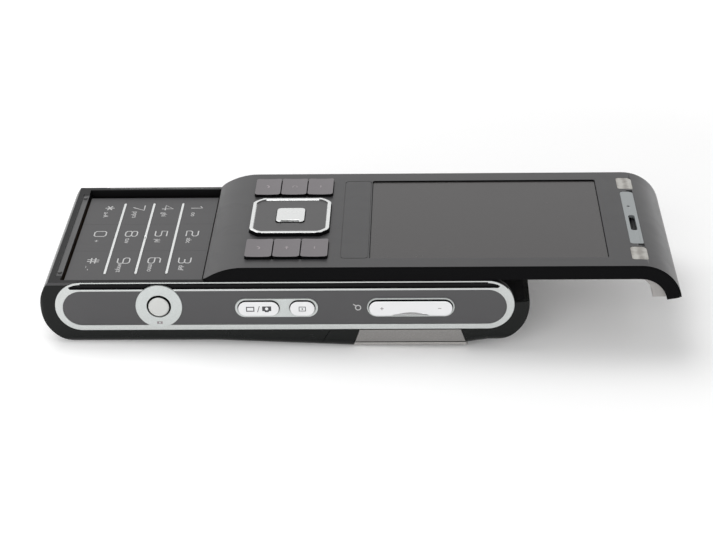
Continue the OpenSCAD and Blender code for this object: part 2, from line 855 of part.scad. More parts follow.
module guide_plate() {
  plate_x0 = pad_x1 + 0.6;
  plate_x1 = slide_plate_x1 + travel + 2.4;
  color("#b8bcc0")
  difference() {
    bar_block(plate_x0, plate_x1, 2 * slot_y0 - 0.4, deck_z + fit, deck_z + 0.6);
    for (y = [-9, 9])
      rounded_block(plate_x0 + 6, plate_x1 - 6, y - 3, y + 3, deck_z - 1, top_z, 1.5);
  }
}

module main_board() {
  board_z0 = split_z + 0.4;
  board_z1 = board_z0 + board_t;
  board_x1 = lens_x - module_s / 2 - 1;
  color("darkgreen") {
    bar_block(hollow_x0 + 1.5, board_x1, board_w, board_z0, board_z1);
    block(14, 34, -13, 11, board_z1, board_z1 + 1.2);
    block(40, 62, -15, 4, board_z1, board_z1 + 1.2);
    block(42, 52, board_w / 2 - 10, board_w / 2 - 2, board_z1, board_z1 + 0.9);
  }
}

module battery() {
  color("#3c4048")
  rounded_block(bay_x0 + 0.2, bay_x0 + 0.2 + battery_len, -battery_w / 2, battery_w / 2,
    battery_z, battery_z + battery_t, 1);
}

module camera_well(gap) {
  half = module_s / 2 + gap;
  flash_half = flash_s / 2 + 2 * gap;
  block(lens_x - half, lens_x + half, lens_y - half, lens_y + half, 0, top_z / 2);
  block(lens_x - flash_half, lens_x + flash_half, -flash_y - flash_half, flash_half - flash_y,
    0, bezel_t + flash_depth + 0.5);
}

module camera_module() {
  half = module_s / 2;
  barrel_r = lens_r + 1;
  color("#17181a")
  difference() {
    union() {
      block(lens_x - half, lens_x + half, lens_y - half, lens_y + half,
        bezel_t + 1, bezel_t + 1 + module_h - 1.5);
      translate([lens_x, lens_y, bezel_t + 0.1]) cylinder(h = 1, r = barrel_r);
    }
    translate([lens_x, lens_y, bezel_t]) cylinder(h = 1.6, r1 = 2.6, r2 = 1.4);
  }
}

module lens_glass() {
  color("#30363c", 0.6)
  translate([lens_x, lens_y, pocket_z + 0.1]) cylinder(h = bezel_t - pocket_z - 0.1, r = lens_r);
}

// A block centred on the flash
module flash_block(len, w, z0, z1) {
  block(lens_x - len / 2, lens_x + len / 2, -flash_y - w / 2, w / 2 - flash_y, z0, z1);
}

// The flash tube's box, with a grooved window down through the bezel
module flash_unit() {
  groove_depth = 0.1;
  groove_w = 0.2;
  color("#e8ecec")
  difference() {
    union() {
      flash_block(flash_len, flash_w, pocket_z + 0.1, bezel_t + 0.2);
      flash_block(flash_s, flash_s, bezel_t + 0.1, bezel_t + flash_depth);
    }
    for (groove = [-3:3])
      translate([0, groove - groove_w / 2, 0])
        flash_block(flash_len + 1, groove_w, 0, pocket_z + 0.1 + groove_depth);
  }
}

// Bezel round the lens and flash, with wings up both sides and a track for the lens cover
module camera_bezel() {
  track_w = lens_cover_w + 1.6 + 2 * run_gap;
  mouth_w = lens_cover_w + 2 * run_gap;
  track_x0 = cover_x1 - lens_cover_len - lens_cover_travel - run_gap;
  groove_z = 0.85;
  color("#8c8a88")
  difference() {
    intersection() {
      across(-case_w, case_w) bezel_side(-fit);
      along(0, base_len) keel_section(0, 0, mid_z);
    }
    bar_block(bezel_x0 - 2, bezel_x1 + 2, case_w - 2 * wing_t, bezel_t, mid_z);
    bar_block(track_x0, cover_x1 + run_gap, mouth_w, -1, window_z + 0.1);
    bar_block(track_x0, cover_x1 + run_gap, track_w, window_z, pocket_z);
    translate([lens_x, lens_y, 0]) cylinder(h = bezel_t + 1, r = lens_r + fit);
    flash_block(flash_len + 2 * fit, flash_w + 2 * fit, 0, bezel_t + 1);
    for (y = [-case_w / 2, case_w / 2])
      block(0, base_len, y - 0.25, y + 0.25, groove_z, groove_z + 0.3);
  }
}

// Lens cover in its closed place, with edges that run in the bezel's track
module lens_cover() {
  x0 = cover_x1 - lens_cover_len;
  color("#77777a")
  difference() {
    union() {
      bar_block(x0, cover_x1, lens_cover_w, pocket_z - run_gap - lens_cover_t - 0.35, pocket_z - run_gap);
      bar_block(x0, cover_x1, lens_cover_w + 1.6, window_z + run_gap, pocket_z - run_gap);
    }
    for (step = [0:4])
      bar_block(x0 + 1.2 + step * 0.7, x0 + 1.5 + step * 0.7, 14, -1, 0.25);
  }
}

// A shallow box under the deck, with its cone in a round recess on top
module loudspeaker() {
  y0 = motor_y + motor_r + speaker_gap;
  y1 = -1;
  cone_r = (y1 - y0) / 2 - 2.5;
  color("#202124")
  difference() {
    rounded_block(lens_x - speaker_len / 2, lens_x + speaker_len / 2, y0, y1,
      split_z + 0.4, cavity_z - 0.3, 2);
    translate([lens_x, (y0 + y1) / 2, cavity_z - 0.6]) cylinder(h = 1, r = cone_r);
  }
}

// A can with a half-round weight on its shaft
module vibration_motor() {
  weight_len = 3;
  shaft_len = 0.6;
  color("silver")
  translate([lens_x - motor_len, motor_y, split_z + motor_r + 0.3]) rotate([0, 90, 0]) {
    cylinder(h = motor_len, r = motor_r);
    translate([0, 0, motor_len + 0.2]) intersection() {
      cylinder(h = weight_len, r = motor_r - 0.1);
      translate([-motor_r, -motor_r, 0]) cube([2 * motor_r, motor_r, weight_len]);
    }
    translate([0, 0, motor_len - 0.1]) cylinder(h = shaft_len, r = motor_r / 4);
  }
}

module microphone() {
  z0 = split_z + 0.4 + board_t;
  y1 = board_w / 2 - 3.4;
  color("gold") rounded_block(36, 39.6, y1 - 2.6, y1, z0, z0 + 2, 0.4);
}

module connector_side(r) {
  stadium(r, connector_x0 + connector_r, connector_x0 + connector_len - connector_r, key_z);
}

module connector_space(grow) {
  across(case_w / 2 - connector_depth - grow, case_w) connector_side(connector_r + grow);
}

// A shroud open to the side, with ten contacts in it
module side_connector() {
  mouth_r = connector_r - 0.45;
  mouth_y = case_w / 2 - connector_depth / 2;
  pin_pitch = (connector_len - 5.8) / 9;
  color("#1c1c1e")
  difference() {
    across(case_w / 2 - connector_depth, case_w / 2 - panel_sink) connector_side(connector_r);
    across(mouth_y, case_w) connector_side(mouth_r);
  }
  color("gold")
  for (contact = [0:9]) {
    x0 = connector_x0 + 2.5 + contact * pin_pitch;
    block(x0, x0 + 0.8, mouth_y, case_w / 2 - 0.8, key_z - 0.3, key_z + 0.1);
  }
}

// ---------- slider ----------

function s(x) = slider_step + x;

module display_opening(gap) {
  rounded_block(s(window_x0) - gap, s(window_x0 + window_len) + gap,
    -window_w / 2 - gap, window_w / 2 + gap, plate_z - 0.5, top_z + 1, 0.6);
}

// A front key: its cap, and the flange under the plate that holds it in
module front_key(x0, x1, y0, y1, proud, r) {
  rounded_block(x0, x1, y0, y1, plate_z - flange_t, top_z + proud, r);
  rounded_block(x0 - flange_w / 4, x1 + flange_w / 4, y0 - flange_w, y1 + flange_w,
    plate_z - flange_t - fit, plate_z - 2 * fit, r);
}

// Outline of the navigation key, grown outwards
module nav_block(z0, z1, grow) {
  clipped_block(s(nav_x) - nav_len / 2, s(nav_x) + nav_len / 2, -nav_w / 2, nav_w / 2, z0, z1, nav_cut, grow);
}

// Outline of the select key, grown outwards
module select_block(z0, z1, grow) {
  rounded_block(s(nav_x) - select_len / 2 - grow, s(nav_x) + select_len / 2 + grow,
    -select_w / 2 - grow, select_w / 2 + grow, z0, z1, 0.7);
}

// Outline of the blank name strip, sunk inwards by inset
module label_block(inset) {
  half = slider_w / 2 - label_side;
  rounded_block(s(label_x0) + inset, s(label_x0 + label_len) - inset, inset - half, half - inset,
    top_z - 0.15 - inset, top_z + 1 + inset, 1 - inset);
}

module fn_hole_row(side) {
  y0 = side > 0 ? fn_y0 : -fn_y0 - fn_w;
  rounded_block(fn_xs[0] - fn_len / 2 - key_gap, fn_xs[2] + fn_len / 2 + key_gap,
    y0 - key_gap, y0 + fn_w + key_gap, plate_z - 1, top_z + 1, 0.8);
}

module ear_strip(grow) {
  rounded_block(s(ear_x0) - grow, s(ear_x0 + ear_len) + grow, -ear_w / 2 - grow, ear_w / 2 + grow,
    mid_z, top_z + 1, 0.8);
}

module sensor_spots(grow) {
  for (y0 = [-sensor_y0 - sensor_w, sensor_y0])
    rounded_block(s(ear_x0) - 0.3 - grow, s(ear_x0 + ear_len) + 0.3 + grow,
      y0 - grow, y0 + sensor_w + grow, mid_z, top_z + 1, 0.7);
}

module front_plate() {
  label_line = 0.15;
  color("#5d5c5e")
  difference() {
    intersection() {
      union() {
        across(rim_w - slider_w / 2, slider_w / 2 - rim_w) difference() {
          slider_side();
          slider_side(skin_t);
        }
        across(-slider_w / 2, slider_w / 2) difference() {
          slider_side();
          slider_side(rim_t);
        }
      }
      slider_plan();
    }
    display_opening(window_gap);
    nav_block(plate_z - 1, top_z + 1, key_gap);
    for (side = [-1, 1]) fn_hole_row(side);
    ear_strip(fit);
    sensor_spots(fit);
    difference() {
      label_block(0);
      label_block(label_line);
    }
  }
}

// Room for the keys' flanges, the dome board, the display and the earpiece inside the frame
module slider_frame() {
  board_x1 = s(label_x0) + 1.5;
  color("#101012")
  difference() {
    intersection() {
      union() {
        across(rim_w + fit - slider_w / 2, slider_w / 2 - rim_w - fit) slider_side(skin_t + fit);
        across(-slider_w / 2, slider_w / 2) difference() {
          slider_side(rim_t + fit);
          translate([0, -1]) square([waterfall_x, 1]);
        }
      }
      slider_plan();
    }
    // under the front plate the frame is cut back to the plate's inner face
    intersection() {
      across(rim_w - slider_w / 2, slider_w / 2 - rim_w) difference() {
        slider_side(rim_t);
        slider_side(skin_t + fit);
      }
      slider_plan();
    }
    bar_block(s(2), end_x1, liner_w + 2 * fit, slider_z - 1, slider_z + back_t + fit);
    bar_block(s(key_room_x0), board_x1, 2 * (fn_y0 + fn_w + flange_w + 0.3), inner_z, top_z);
    bar_block(s(window_x0) - 1.5, s(window_x0 + window_len) + 1.5, window_w + 2, inner_z, top_z);
    bar_block(s(ear_x0) - 3, s(ear_x0 + ear_len) - 0.2, ear_speaker_w + 1, inner_z, top_z);
  }
}

module slider_back_cover() {
  half = liner_w / 2;
  color("#a3a3a0")
  union() {
    bar_block(slide_plate_x1 + 0.2, end_x1 - fit, liner_w, slider_z, slider_z + back_t);
    bar_block(end_x1 - 0.65, end_x1 - fit, liner_w, slider_z - 0.12, slider_z + back_t);
    intersection() {
      across(-half, half) difference() {
        translate([end_x1, mid_z]) circle(hook_in_r - fit);
        translate([back_x1, slider_z - liner_r]) circle(liner_r);
        translate([back_x1 - 2 * case_r, mid_z - 2 * case_r]) square([2 * case_r, 4 * case_r]);
        translate([back_x1 - 1, mid_z - 2 * case_r])
          square([liner_r + 1, 2 * case_r + slider_z - liner_r - mid_z]);
        translate([0, mid_z - case_r]) square([2 * base_len, case_r + hook_in_r * sin(tip_angle)]);
      }
      slider_plan();
    }
  }
}

// Steel plate under the slider, with a leg and a foot along each side
module slide_plate() {
  color("#b8bcc0") {
    bar_block(s(2) + fit, slide_plate_x1, 2 * leg_y1, slider_z, slider_z + back_t - fit);
    for (side = [-1, 1]) {
      y0 = side > 0 ? leg_y1 - leg_t : -leg_y1;
      f0 = side > 0 ? leg_y1 - leg_t : -slot_y1 - foot_reach;
      block(leg_x0, leg_x0 + leg_len, y0, y0 + leg_t, foot_z, slider_z + 0.1);
      block(leg_x0, leg_x0 + leg_len, f0, f0 + slot_y1 + foot_reach - leg_y1 + leg_t, foot_z, foot_z + foot_t);
    }
  }
}

module display_window() {
  color("#141416")
  rounded_block(s(window_x0), s(window_x0 + window_len), -window_w / 2, window_w / 2,
    plate_z + fit, top_z - window_sink, 0.5);
}

module display_module() {
  color("#2b3440") {
    bar_block(s(window_x0) - 1, s(window_x0 + window_len) + 1, window_w + 1.4,
      plate_z - display_t, plate_z - 0.1);
  }
}

module slider_board() {
  color("darkgreen") {
    bar_block(s(key_room_x0) + 0.5, s(label_x0) + 1, 2 * (fn_y0 + fn_w), inner_z + fit, dome_z);
    for (x = fn_xs, y = [-1, 1] * (fn_y0 + fn_w / 2))
      translate([x, y, dome_z]) cylinder(h = 0.04, r = 2);
    translate([s(nav_x), 0, dome_z]) cylinder(h = 0.04, r = 2.2);
  }
}

module ear_speaker() {
  half = ear_speaker_w / 2;
  mouth = half - 2.5;
  color("#303236")
  difference() {
    rounded_block(s(ear_x0) - 2.8, s(ear_x0 + ear_len) - 0.4, -half, half, inner_z + fit, plate_z - 0.15, 1);
    rounded_block(s(ear_x0) - 1, s(ear_x0 + ear_len) - 1.4, -mouth, mouth, plate_z - 0.4, top_z, 0.4);
  }
}

// Strip of the front plate's own curve, from its outer face down to inset depth
module skin_slice(depth) {
  across(-slider_w / 2, slider_w / 2) difference() {
    slider_side(0.03);
    slider_side(depth);
  }
}

module ear_grille() {
  slot_x = s(ear_x0 + ear_len / 2);
  color("#9a9998")
  difference() {
    intersection() {
      skin_slice(skin_t - 0.05);
      ear_strip(0);
    }
    rounded_block(slot_x - 0.7, slot_x + 0.7, ear_slot_y - ear_slot_w / 2, ear_slot_y + ear_slot_w / 2,
      mid_z, top_z + 1, 0.69);
    translate([slot_x - 0.2, ear_slot_y + ear_slot_w / 2 + 4.6, mid_z]) cylinder(h = case_r + 1, r = 0.35);
  }
}

module sensor_windows() {
  color("#c4c4bf")
  intersection() {
    skin_slice(skin_t - 0.05);
    sensor_spots(0);
  }
}

// ---------- slider: keys ----------

// A bright band round a sunk face, with room below it to press past the select key's flange
module nav_key() {
  sink = 0.2;
  color("#8a8789")
  difference() {
    union() {
      nav_block(plate_z - flange_t, top_z + nav_proud, 0);
      nav_block(plate_z - flange_t - fit, plate_z - 2 * fit, flange_w);
    }
    nav_block(top_z + nav_proud - sink, top_z + 3, -nav_band);
    select_block(plate_z - 2, top_z + 3, key_gap);
    select_block(plate_z - 2, plate_z + key_press, flange_w + 0.2);
  }
}

module select_key() {
  x0 = s(nav_x) - select_len / 2;
  color("#d7d9d8")
  difference() {
    union() {
      select_block(plate_z - flange_t, top_z + nav_proud + 0.1, 0);
      select_block(plate_z - flange_t - fit, plate_z - 2 * fit, flange_w);
    }
    rounded_block(x0 + 1.5, x0 + select_len - 1.5, -select_w, 0.8 - select_w / 2,
      top_z + nav_proud - 0.25, top_z + 3, 0.3);
  }
}

// A function key in the row at side -1 or 1, in place -1, 0 or 1 along it
module fn_key(side, place) {
  x0 = s(nav_x) + place * fn_pitch - fn_len / 2;
  y0 = side > 0 ? fn_y0 : -fn_y0 - fn_w;
  fn_dish_r = 34;
  color("#7d7779")
  difference() {
    front_key(x0, x0 + fn_len, y0, y0 + fn_w, fn_proud, 0.6);
    across(y0 - 1, y0 + fn_w + 1)
      translate([x0 + fn_len / 2, top_z + fn_proud - 0.12 + fn_dish_r]) circle(fn_dish_r, $fn = 256);
  }
}

// ---------- the pieces in place ----------

on_base() main_housing();
on_base() rear_frame();
on_base() camera_housing();
on_base() camera_bezel();
on_base() side_trims();
on_base() side_panels();
on_base() shutter_ring();
on_base() key_bezel();
on_base() zoom_bezel();
on_base() keypad_strips();
on_base() keypad_board();
on_base() main_board();
on_base() battery();
on_base() camera_module();
on_base() lens_glass();
on_base() flash_unit();
on_base() guide_plate();
on_base() loudspeaker();
on_base() vibration_motor();
on_base() microphone();
on_base() side_connector();
on_base() case_screws();
on_base() pad_key(1, 3);  // key_1
on_base() pad_key(0, 3);  // key_2
on_base() pad_key(-1, 3);  // key_3
on_base() pad_key(1, 2);  // key_4
on_base() pad_key(0, 2);  // key_5
on_base() pad_key(-1, 2);  // key_6
on_base() pad_key(1, 1);  // key_7
on_base() pad_key(0, 1);  // key_8
on_base() pad_key(-1, 1);  // key_9
on_base() pad_key(1, 0);  // key_star
on_base() pad_key(0, 0);  // key_0
on_base() pad_key(-1, 0);  // key_hash
on_base() shutter_button();
on_base() mode_key();
on_base() playback_key();
on_base() zoom_rocker();
on_base() lens_cover();
on_base() battery_cover();
on_slider() front_plate();
on_slider() slider_frame();
on_slider() slider_back_cover();
on_slider() slide_plate();
on_slider() display_window();
on_slider() display_module();
on_slider() ear_speaker();
on_slider() ear_grille();
on_slider() sensor_windows();
on_slider() slider_board();
on_slider() nav_key();
on_slider() select_key();
on_slider() fn_key(-1, 1);  // soft_key_right
on_slider() fn_key(1, 1);  // soft_key_left
on_slider() fn_key(-1, 0);  // back_key
on_slider() fn_key(1, 0);  // clear_key
on_slider() fn_key(-1, -1);  // end_key
on_slider() fn_key(1, -1);  // call_key
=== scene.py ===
"""Dresses a slider phone, standing open on a pale studio floor."""

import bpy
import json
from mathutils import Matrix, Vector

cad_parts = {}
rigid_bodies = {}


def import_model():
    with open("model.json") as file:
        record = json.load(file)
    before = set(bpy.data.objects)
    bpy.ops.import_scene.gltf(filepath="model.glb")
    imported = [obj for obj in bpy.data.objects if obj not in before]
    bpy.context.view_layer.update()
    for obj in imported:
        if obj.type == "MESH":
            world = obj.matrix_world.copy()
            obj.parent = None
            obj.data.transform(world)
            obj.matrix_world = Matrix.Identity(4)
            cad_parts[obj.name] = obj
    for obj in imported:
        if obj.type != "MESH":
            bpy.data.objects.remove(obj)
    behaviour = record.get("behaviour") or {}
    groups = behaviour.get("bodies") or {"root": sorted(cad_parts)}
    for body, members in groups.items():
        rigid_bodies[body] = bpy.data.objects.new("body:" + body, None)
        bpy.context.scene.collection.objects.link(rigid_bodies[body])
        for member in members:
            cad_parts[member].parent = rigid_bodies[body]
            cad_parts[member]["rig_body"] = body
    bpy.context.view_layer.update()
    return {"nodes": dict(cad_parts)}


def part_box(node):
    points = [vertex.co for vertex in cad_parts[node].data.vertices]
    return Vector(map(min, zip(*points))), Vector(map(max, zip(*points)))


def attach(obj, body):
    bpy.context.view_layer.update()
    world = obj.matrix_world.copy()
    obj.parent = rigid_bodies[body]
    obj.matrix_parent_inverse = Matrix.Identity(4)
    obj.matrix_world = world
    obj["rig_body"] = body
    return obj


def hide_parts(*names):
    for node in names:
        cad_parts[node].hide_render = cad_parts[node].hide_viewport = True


bl_info = {
    "name": "Slider Phone",
    "version": (1, 0, 0),
    "blender": (4, 5, 0),
    "location": "View3D > Sidebar > Phone",
    "description": "Dresses a slider phone: shells, screen, keys, trims, camera and slide",
    "category": "Add Mesh",
}

import json
import math

import bpy
from bpy.props import FloatProperty, FloatVectorProperty, PointerProperty
from mathutils import Matrix, Vector

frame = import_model()
MM = 0.001
# Places nearer than this, in metres, count as one
TOUCH = 1e-6

# Turns that lay a drawing, made flat in X and Y, onto the phone
ON_TOP = Matrix(((0, 1, 0), (-1, 0, 0), (0, 0, 1)))
ON_SIDE = Matrix(((-1, 0, 0), (0, 0, -1), (0, -1, 0)))


# ---- settings


def length(label, text, value, low, high):
    """A length setting, given in millimetres."""
    return FloatProperty(name=label, description=text, default=value * MM, min=low * MM,
                         max=high * MM, unit="LENGTH")


class PhoneSizes(bpy.types.PropertyGroup):
    """Sizes that a user would change."""

    shell_edge: length("Shell edge", "Rounding of the shells' edges", 0.15, 0.02, 0.3)
    key_edge: length("Key edge", "Rounding of the keys' upper edges", 0.22, 0.05, 0.4)
    hairline: length("Hairline edge", "Rounding of thin trims and flush keys", 0.06, 0.01, 0.1)
    digit_height: length("Digit height", "Height of the digits on the keypad", 2.6, 2, 4)
    stroke: length("Digit stroke", "Width of the digits' strokes", 0.31, 0.1, 0.5)
    letter_height: length("Letter height", "Height of the keypad's small letters", 1.25, 0.8, 1.6)
    print_depth: length("Print thickness", "Thickness of printed marks", 0.012, 0.005, 0.05)
    band: length("Navigation band", "Bright band round the navigation key", 0.75, 0.4, 1.2)
    corner_cut: length("Navigation corner", "Navigation key's clipped corners", 1.9, 1, 3)


def colour(label, text, value):
    """A colour setting."""
    return FloatVectorProperty(name=label, description=text, default=value, size=3,
                               min=0, max=1, subtype="COLOR")


class PhoneColours(bpy.types.PropertyGroup):
    """Colours that a user would change, as linear values."""

    front: colour("Front", "Satin front of the slider", (0.030, 0.0295, 0.031))
    band_black: colour("Slider edge", "Black edge of the slider", (0.0035, 0.0035, 0.004))
    casing: colour("Casing", "Shells of the base", (0.0065, 0.0075, 0.007))
    side: colour("Side panel", "Panels inside the side trims", (0.072, 0.071, 0.074))
    silver: colour("Silver", "Trims and frames", (0.60, 0.62, 0.61))
    side_keys: colour("Side keys", "Keys on the camera side", (0.92, 0.92, 0.93))
    keypad: colour("Keypad", "Keys of the number pad", (0.027, 0.026, 0.028))
    marks: colour("Marks", "Digits and letters on the keypad", (0.56, 0.56, 0.56))
    function: colour("Function keys", "Keys beside the navigation key", (0.122, 0.110, 0.118))
    navigation: colour("Navigation key", "Inner face of the navigation key", (0.050, 0.049, 0.050))
    bezel: colour("Camera bezel", "Bezel round the lens cover", (0.27, 0.262, 0.255))
    liner: colour("Liner", "Cover under the slider", (0.40, 0.385, 0.375))
    screen: colour("Screen", "Dark screen under its window", (0.034, 0.031, 0.031))


# ---- selection and editing


# Degrees: edges sharper than SHARP are softened, faces within FLAT of each other become one, and
# shading breaks at CREASE
SHARP = 28
FLAT = 0.3
CREASE = 32
# Corners nearer than this, in metres, are welded
WELD = 1e-7


def only(piece):
    """Selects this piece alone and makes it active."""
    if bpy.context.object and bpy.context.object.mode != "OBJECT":
        bpy.ops.object.mode_set(mode="OBJECT")
    bpy.ops.object.select_all(action="DESELECT")
    piece.select_set(True)
    bpy.context.view_layer.objects.active = piece


def in_edit(piece, kind, test):
    """Enters edit mode with only the elements that test chooses. kind is VERT, EDGE or FACE."""
    only(piece)
    mesh = piece.data
    bpy.context.tool_settings.mesh_select_mode = tuple(kind == k for k in ("VERT", "EDGE", "FACE"))
    for group in (mesh.vertices, mesh.edges, mesh.polygons):
        group.foreach_set("select", [False] * len(group))
    if kind == "VERT":
        for vertex in mesh.vertices:
            vertex.select = test(vertex.co)
    elif kind == "EDGE":
        for edge in mesh.edges:
            a, b = (mesh.vertices[i].co for i in edge.vertices)
            edge.select = test(a, b)
    else:
        for face in mesh.polygons:
            face.select = test(face.center, face.normal)
    bpy.ops.object.mode_set(mode="EDIT")


def out_of_edit():
    """Leaves edit mode."""
    bpy.ops.object.mode_set(mode="OBJECT")


def modifier(piece, kind, **values):
    """Adds one modifier with its values and applies it."""
    only(piece)
    made = piece.modifiers.new(kind.title(), kind)
    for key, value in values.items():
        setattr(made, key, value)
    bpy.ops.object.modifier_apply(modifier=made.name)


def smooth(piece, angle=CREASE):
    """Smooth shading across soft edges, with flat faces kept flat."""
    only(piece)
    bpy.ops.object.shade_smooth_by_angle(angle=math.radians(angle))
    modifier(piece, "WEIGHTED_NORMAL", keep_sharp=True, weight=80)


def block(name, low, high):
    """A box between two corners, with its place in its mesh."""
    low, high = Vector(low), Vector(high)
    bpy.ops.object.select_all(action="DESELECT")
    bpy.ops.mesh.primitive_cube_add(size=1, location=(low + high) / 2, scale=high - low)
    piece = bpy.context.object
    bpy.ops.object.transform_apply(location=True, rotation=True, scale=True)
    piece.name = name
    return piece


def upright(a, b):
    """True for an edge that runs along Z."""
    return abs(a.x - b.x) + abs(a.y - b.y) < TOUCH


def round_edges(piece, test, width, segments):
    """Bevels the edges that test chooses."""
    in_edit(piece, "EDGE", test)
    bpy.ops.mesh.bevel(offset=width, segments=segments, affect="EDGES", clamp_overlap=True)
    out_of_edit()


def node_copy(node, whole=True):
    """A copy of a CAD node's mesh, welded.

    Its flat faces are made whole, which a piece whose faces ring a window can't take.
    """
    piece = bpy.data.objects.new(node + "_dressed", frame["nodes"][node].data.copy())
    bpy.context.scene.collection.objects.link(piece)
    in_edit(piece, "VERT", lambda co: True)
    bpy.ops.mesh.remove_doubles(threshold=WELD)
    if whole:
        bpy.ops.mesh.dissolve_limited(angle_limit=math.radians(FLAT))
    out_of_edit()
    piece.data.materials.clear()
    return piece


def body_of_node(node):
    """The name of the body that holds a CAD node."""
    return frame["nodes"][node]["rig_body"]


def coat(piece, *materials):
    """Gives a piece these materials and no others."""
    piece.data.materials.clear()
    for material in materials:
        piece.data.materials.append(material)


def two_tone(piece, top, sides, test):
    """Gives the faces that test chooses the finish named top, and the rest the one named sides."""
    top, sides = finish(top), finish(sides)
    coat(piece, sides, top)
    for face in piece.data.polygons:
        face.material_index = int(test(face.center, face.normal))


def seat(piece, node, name=None):
    """Puts a piece in a CAD node's place, on that node's body, in a finish if one is named."""
    if name:
        coat(piece, finish(name))
    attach(piece, body_of_node(node))
    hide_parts(node)
    return piece


def seat_print(piece, node, name):
    """Puts a printed mark, or a black piece painted as shade, in a named finish, on the body of a CAD
    node.
    """
    coat(piece, finish(name))
    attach(piece, body_of_node(node))


def soften(piece, edge, segments=2):
    """Bevels a piece's sharp edges, and shades it smooth."""
    modifier(piece, "BEVEL", width=edge, segments=segments, limit_method="ANGLE",
             angle_limit=math.radians(SHARP), use_clamp_overlap=True, miter_outer="MITER_ARC")
    smooth(piece)


def dress(node, name, edge, segments=2, whole=True):
    """Replaces a CAD node with a copy whose edges are softened, in a finish if one is named."""
    piece = node_copy(node, whole)
    soften(piece, edge, segments)
    return seat(piece, node, name)


def cut(piece, cutter):
    """Cuts one piece out of another and takes the cutter away."""
    modifier(piece, "BOOLEAN", object=cutter, operation="DIFFERENCE", solver="EXACT")
    bpy.data.objects.remove(cutter)


def join(pieces, name):
    """Joins pieces into one."""
    only(pieces[0])
    for piece in pieces[1:]:
        piece.select_set(True)
    if len(pieces) > 1:
        bpy.ops.object.join()
    pieces[0].name = name
    return pieces[0]


# ---- prints


# Height of a capital of Blender's own font, as a share of the font's size
CAPITAL = 0.73


def stand(piece, turn, place):
    """Turns a flat drawing onto a face of the phone and keeps its place in its mesh."""
    piece.data.transform(Matrix.Translation(Vector(place)) @ turn.to_4x4())


def printed_text(text, height, wide, depth):
    """Flat lettering centred on the origin, as a mesh."""
    bpy.ops.object.select_all(action="DESELECT")
    bpy.ops.object.text_add()
    piece = bpy.context.object
    piece.data.body = text
    piece.data.align_x = "CENTER"
    piece.data.align_y = "CENTER"
    piece.data.size = height / CAPITAL
    piece.data.extrude = depth / 2
    piece.data.resolution_u = 4
    bpy.ops.object.convert(target="MESH")
    piece = bpy.context.object
    piece.data.transform(Matrix.Diagonal((wide, 1, 1, 1)))
    return piece


# Digits as strokes, in a box one unit wide and one unit tall
DIGITS = {
    "0": [[(.2, 0), (0, .15), (0, .85), (.2, 1), (.8, 1), (1, .85), (1, .15), (.8, 0), (.2, 0)]],
    "1": [[(.25, .82), (.6, 1), (.6, 0)]],
    "2": [[(0, 1), (.8, 1), (1, .87), (1, .63), (.8, .5), (.2, .5), (0, .37), (0, 0), (1, 0)]],
    "3": [[(0, 1), (.8, 1), (1, .87), (1, .63), (.85, .5), (1, .37), (1, .13), (.8, 0), (0, 0)],
          [(.3, .5), (.85, .5)]],
    "4": [[(.72, 0), (.72, 1), (0, .3), (1, .3)]],
    "5": [[(1, 1), (0, 1), (0, .53), (.8, .53), (1, .4), (1, .13), (.8, 0), (0, 0)]],
    "6": [[(.9, 1), (.2, 1), (0, .87), (0, .13), (.2, 0), (.8, 0), (1, .13), (1, .4), (.8, .53),
           (0, .53)]],
    "7": [[(0, 1), (1, 1), (.4, 0)]],
    "8": [[(.2, .53), (0, .66), (0, .87), (.2, 1), (.8, 1), (1, .87), (1, .66), (.8, .53), (.2, .53),
           (0, .4), (0, .13), (.2, 0), (.8, 0), (1, .13), (1, .4), (.8, .53)]],
    "9": [[(.1, 0), (.8, 0), (1, .13), (1, .87), (.8, 1), (.2, 1), (0, .87), (0, .6), (.2, .47),
           (1, .47)]],
    "*": [[(.5, .1), (.5, .9)], [(.1, .3), (.9, .7)], [(.1, .7), (.9, .3)]],
    "#": [[(.3, 0), (.38, 1)], [(.64, 0), (.72, 1)], [(0, .33), (1, .33)], [(0, .68), (1, .68)]],
}


def drawn(name, outlines, closed, **values):
    """A mesh made from straight-sided outlines by a curve with these values."""
    bpy.ops.object.select_all(action="DESELECT")
    curve = bpy.data.curves.new(name, "CURVE")
    for key, value in values.items():
        setattr(curve, key, value)
    for outline in outlines:
        spline = curve.splines.new("POLY")
        spline.points.add(len(outline) - 1)
        for point, (x, y) in zip(spline.points, outline):
            point.co = (x, y, 0, 1)
        spline.use_cyclic_u = closed
    piece = bpy.data.objects.new(name, curve)
    bpy.context.scene.collection.objects.link(piece)
    only(piece)
    bpy.ops.object.convert(target="MESH")
    return bpy.context.object


def printed_digit(digit, size, stroke, depth):
    """A digit drawn with a round pen, centred on the origin, as a flat mesh."""
    strokes = [[((x - 0.5) * size, (y - 0.5) * size) for x, y in line] for line in DIGITS[digit]]
    piece = drawn("digit", strokes, False, dimensions="3D", bevel_depth=stroke / 2,
                  bevel_resolution=1, use_fill_caps=True)
    piece.data.transform(Matrix.Diagonal((1, 1, depth / stroke, 1)))
    return piece


def printed_shape(outlines, depth):
    """A flat filled drawing, whose inner outlines are holes, as a mesh."""
    return drawn("mark", outlines, True, dimensions="2D", fill_mode="BOTH", extrude=depth / 2)


def ring_points(radius, centre=(0, 0), count=24, start=0.0):
    """Points round a circle."""
    turns = (start + 2 * math.pi * i / count for i in range(count))
    return [(centre[0] + radius * math.cos(t), centre[1] + radius * math.sin(t)) for t in turns]


def box_points(width, height):
    """Corners of a rectangle."""
    x, y = width / 2, height / 2
    return [(-x, -y), (x, -y), (x, y), (-x, y)]


def receiver():
    """Outline of a telephone receiver: a piece of a ring."""
    outer, inner = (ring_points(radius, (0, -0.5), 12, 0.5)[:6] for radius in (0.8, 0.5))
    return outer + inner[::-1]


